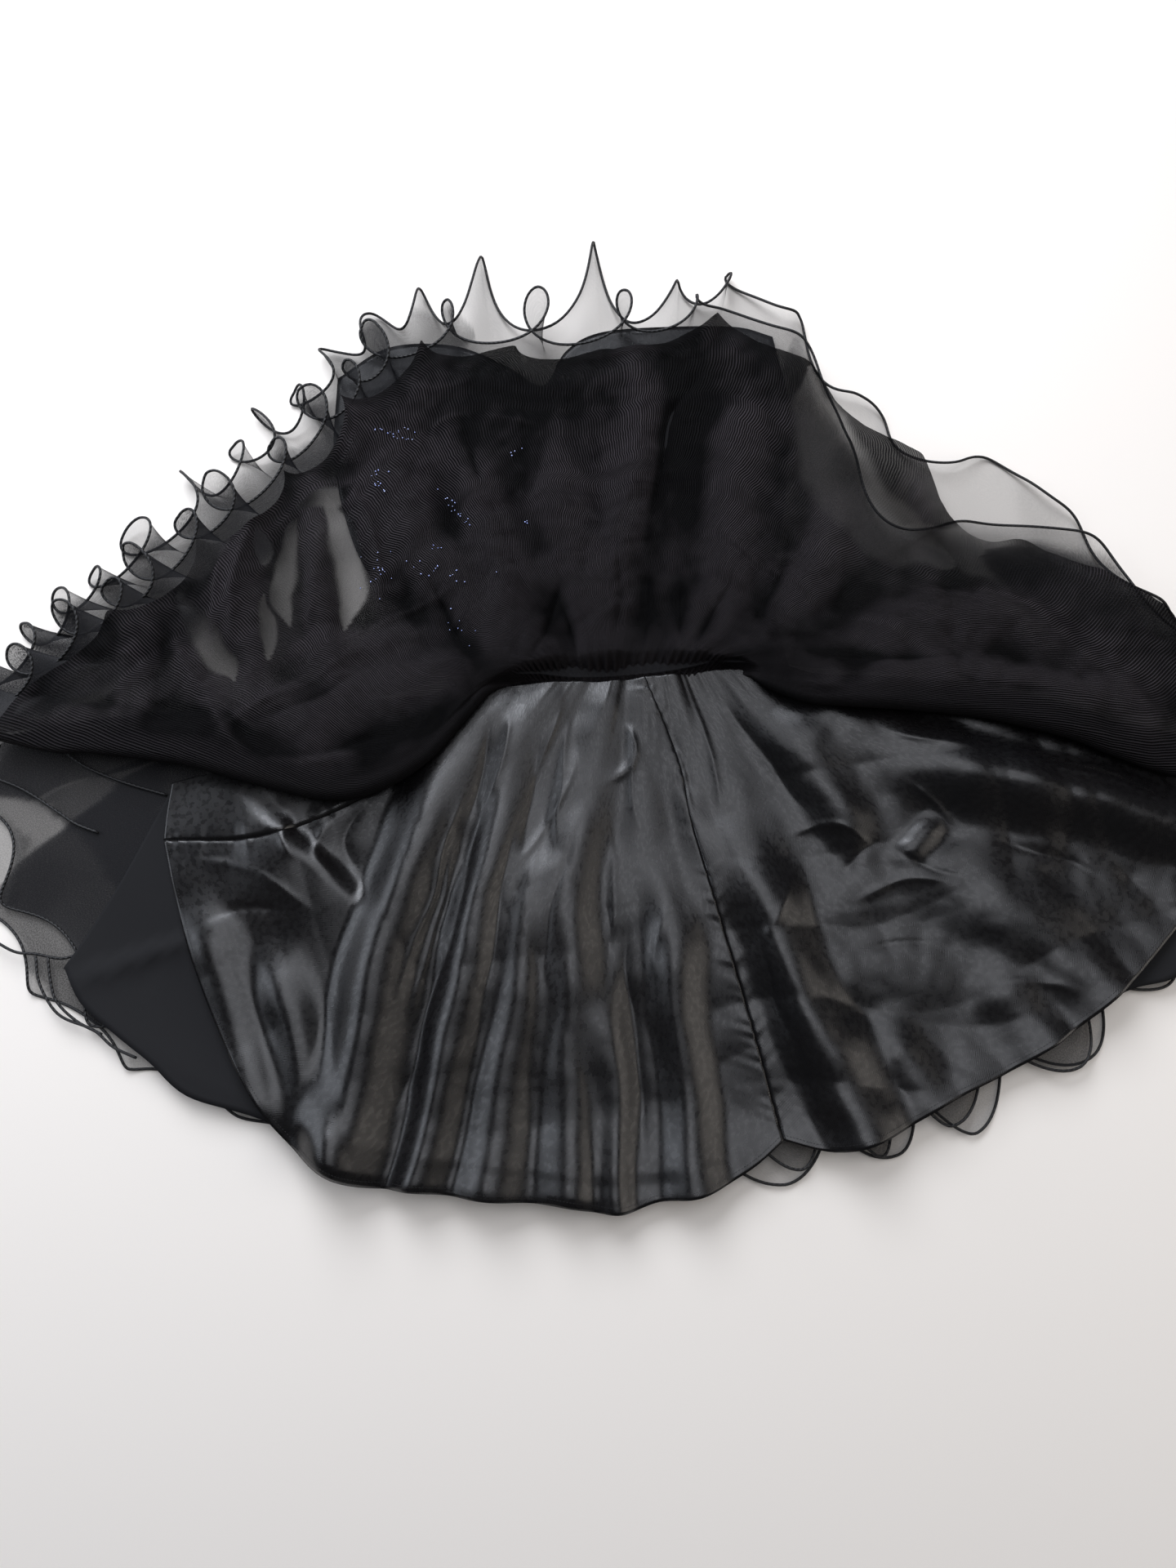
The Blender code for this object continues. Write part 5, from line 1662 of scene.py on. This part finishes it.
class DRESS_OT_stage(bpy.types.Operator):
    """Makes the table, the light and the camera"""

    bl_idname = "dress.stage"
    bl_label = "Stage"

    def execute(self, context):
        bm = bmesh.new()
        bmesh.ops.create_grid(bm, x_segments=2, y_segments=2, size=TABLE_HALF)
        bmesh.ops.translate(bm, verts=bm.verts, vec=Vector((0, 0, -TABLE_DROP)))
        table = finished("table", bm)
        table.data.materials.append(white_table(context.scene.dress_colours))
        light_room(context.scene)
        stand_camera(context.scene)
        return {"FINISHED"}


def stand_at(scene, name, data, place, aim):
    """Stands a lamp or a camera at a place, turned towards what it is aimed at."""
    stand = bpy.data.objects.new(name, data)
    stand.location = place
    stand.rotation_euler = (Vector(aim) - Vector(place)).to_track_quat("-Z", "Y").to_euler()
    scene.collection.objects.link(stand)
    return stand


def light_room(scene):
    """A dim room with a pale ceiling, a window beyond the neckline and weak lamps beside."""
    world = bpy.data.worlds.new("room")
    world.use_nodes = True
    back = world.node_tree.nodes["Background"]
    back.inputs["Color"].default_value = (*linear(ROOM_COLOUR), 1)
    back.inputs["Strength"].default_value = ROOM_LIGHT
    scene.world = world
    for name, place, aim, size, power, colour in LAMPS:
        lamp = bpy.data.lights.new(name, "AREA")
        lamp.size = size
        lamp.energy = power
        lamp.color = linear(colour)
        stand_at(scene, name, lamp, place, aim)
    scene.view_settings.view_transform = "Standard"


def stand_camera(scene):
    """The camera looks steeply down from the hem side."""
    data = bpy.data.cameras.new("camera")
    data.lens = CAMERA_LENS
    data.sensor_width = CAMERA_SENSOR
    place, aim = (to_frame(*np.array(spot)) for spot in (CAMERA_PLACE, CAMERA_AIM))
    scene.camera = stand_at(scene, "camera", data, place, aim)


OPERATORS = (
    DRESS_OT_back_net, DRESS_OT_satin_back, DRESS_OT_satin_front, DRESS_OT_bodice,
    DRESS_OT_front_net, DRESS_OT_stage,
)


class DRESS_PT_panel(bpy.types.Panel):
    """Lists the pieces of the dress with their sizes and colours"""

    bl_label = "Dress"
    bl_space_type = "VIEW_3D"
    bl_region_type = "UI"
    bl_category = "Dress"

    def draw(self, context):
        for operator in OPERATORS:
            self.layout.operator(operator.bl_idname)
        for group in (context.scene.dress_sizes, context.scene.dress_colours):
            box = self.layout.box()
            for key in group.__annotations__:
                box.prop(group, key)


CLASSES = (DressSizes, DressColours, *OPERATORS, DRESS_PT_panel)


def register():
    for each in CLASSES:
        bpy.utils.register_class(each)
    bpy.types.Scene.dress_sizes = bpy.props.PointerProperty(type=DressSizes)
    bpy.types.Scene.dress_colours = bpy.props.PointerProperty(type=DressColours)


def unregister():
    del bpy.types.Scene.dress_colours
    del bpy.types.Scene.dress_sizes
    for each in reversed(CLASSES):
        bpy.utils.unregister_class(each)


def main():
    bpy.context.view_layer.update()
    register()
    for operator in OPERATORS:
        family, name = operator.bl_idname.split(".")
        getattr(getattr(bpy.ops, family), name)()


if __name__ == "__main__":
    main()
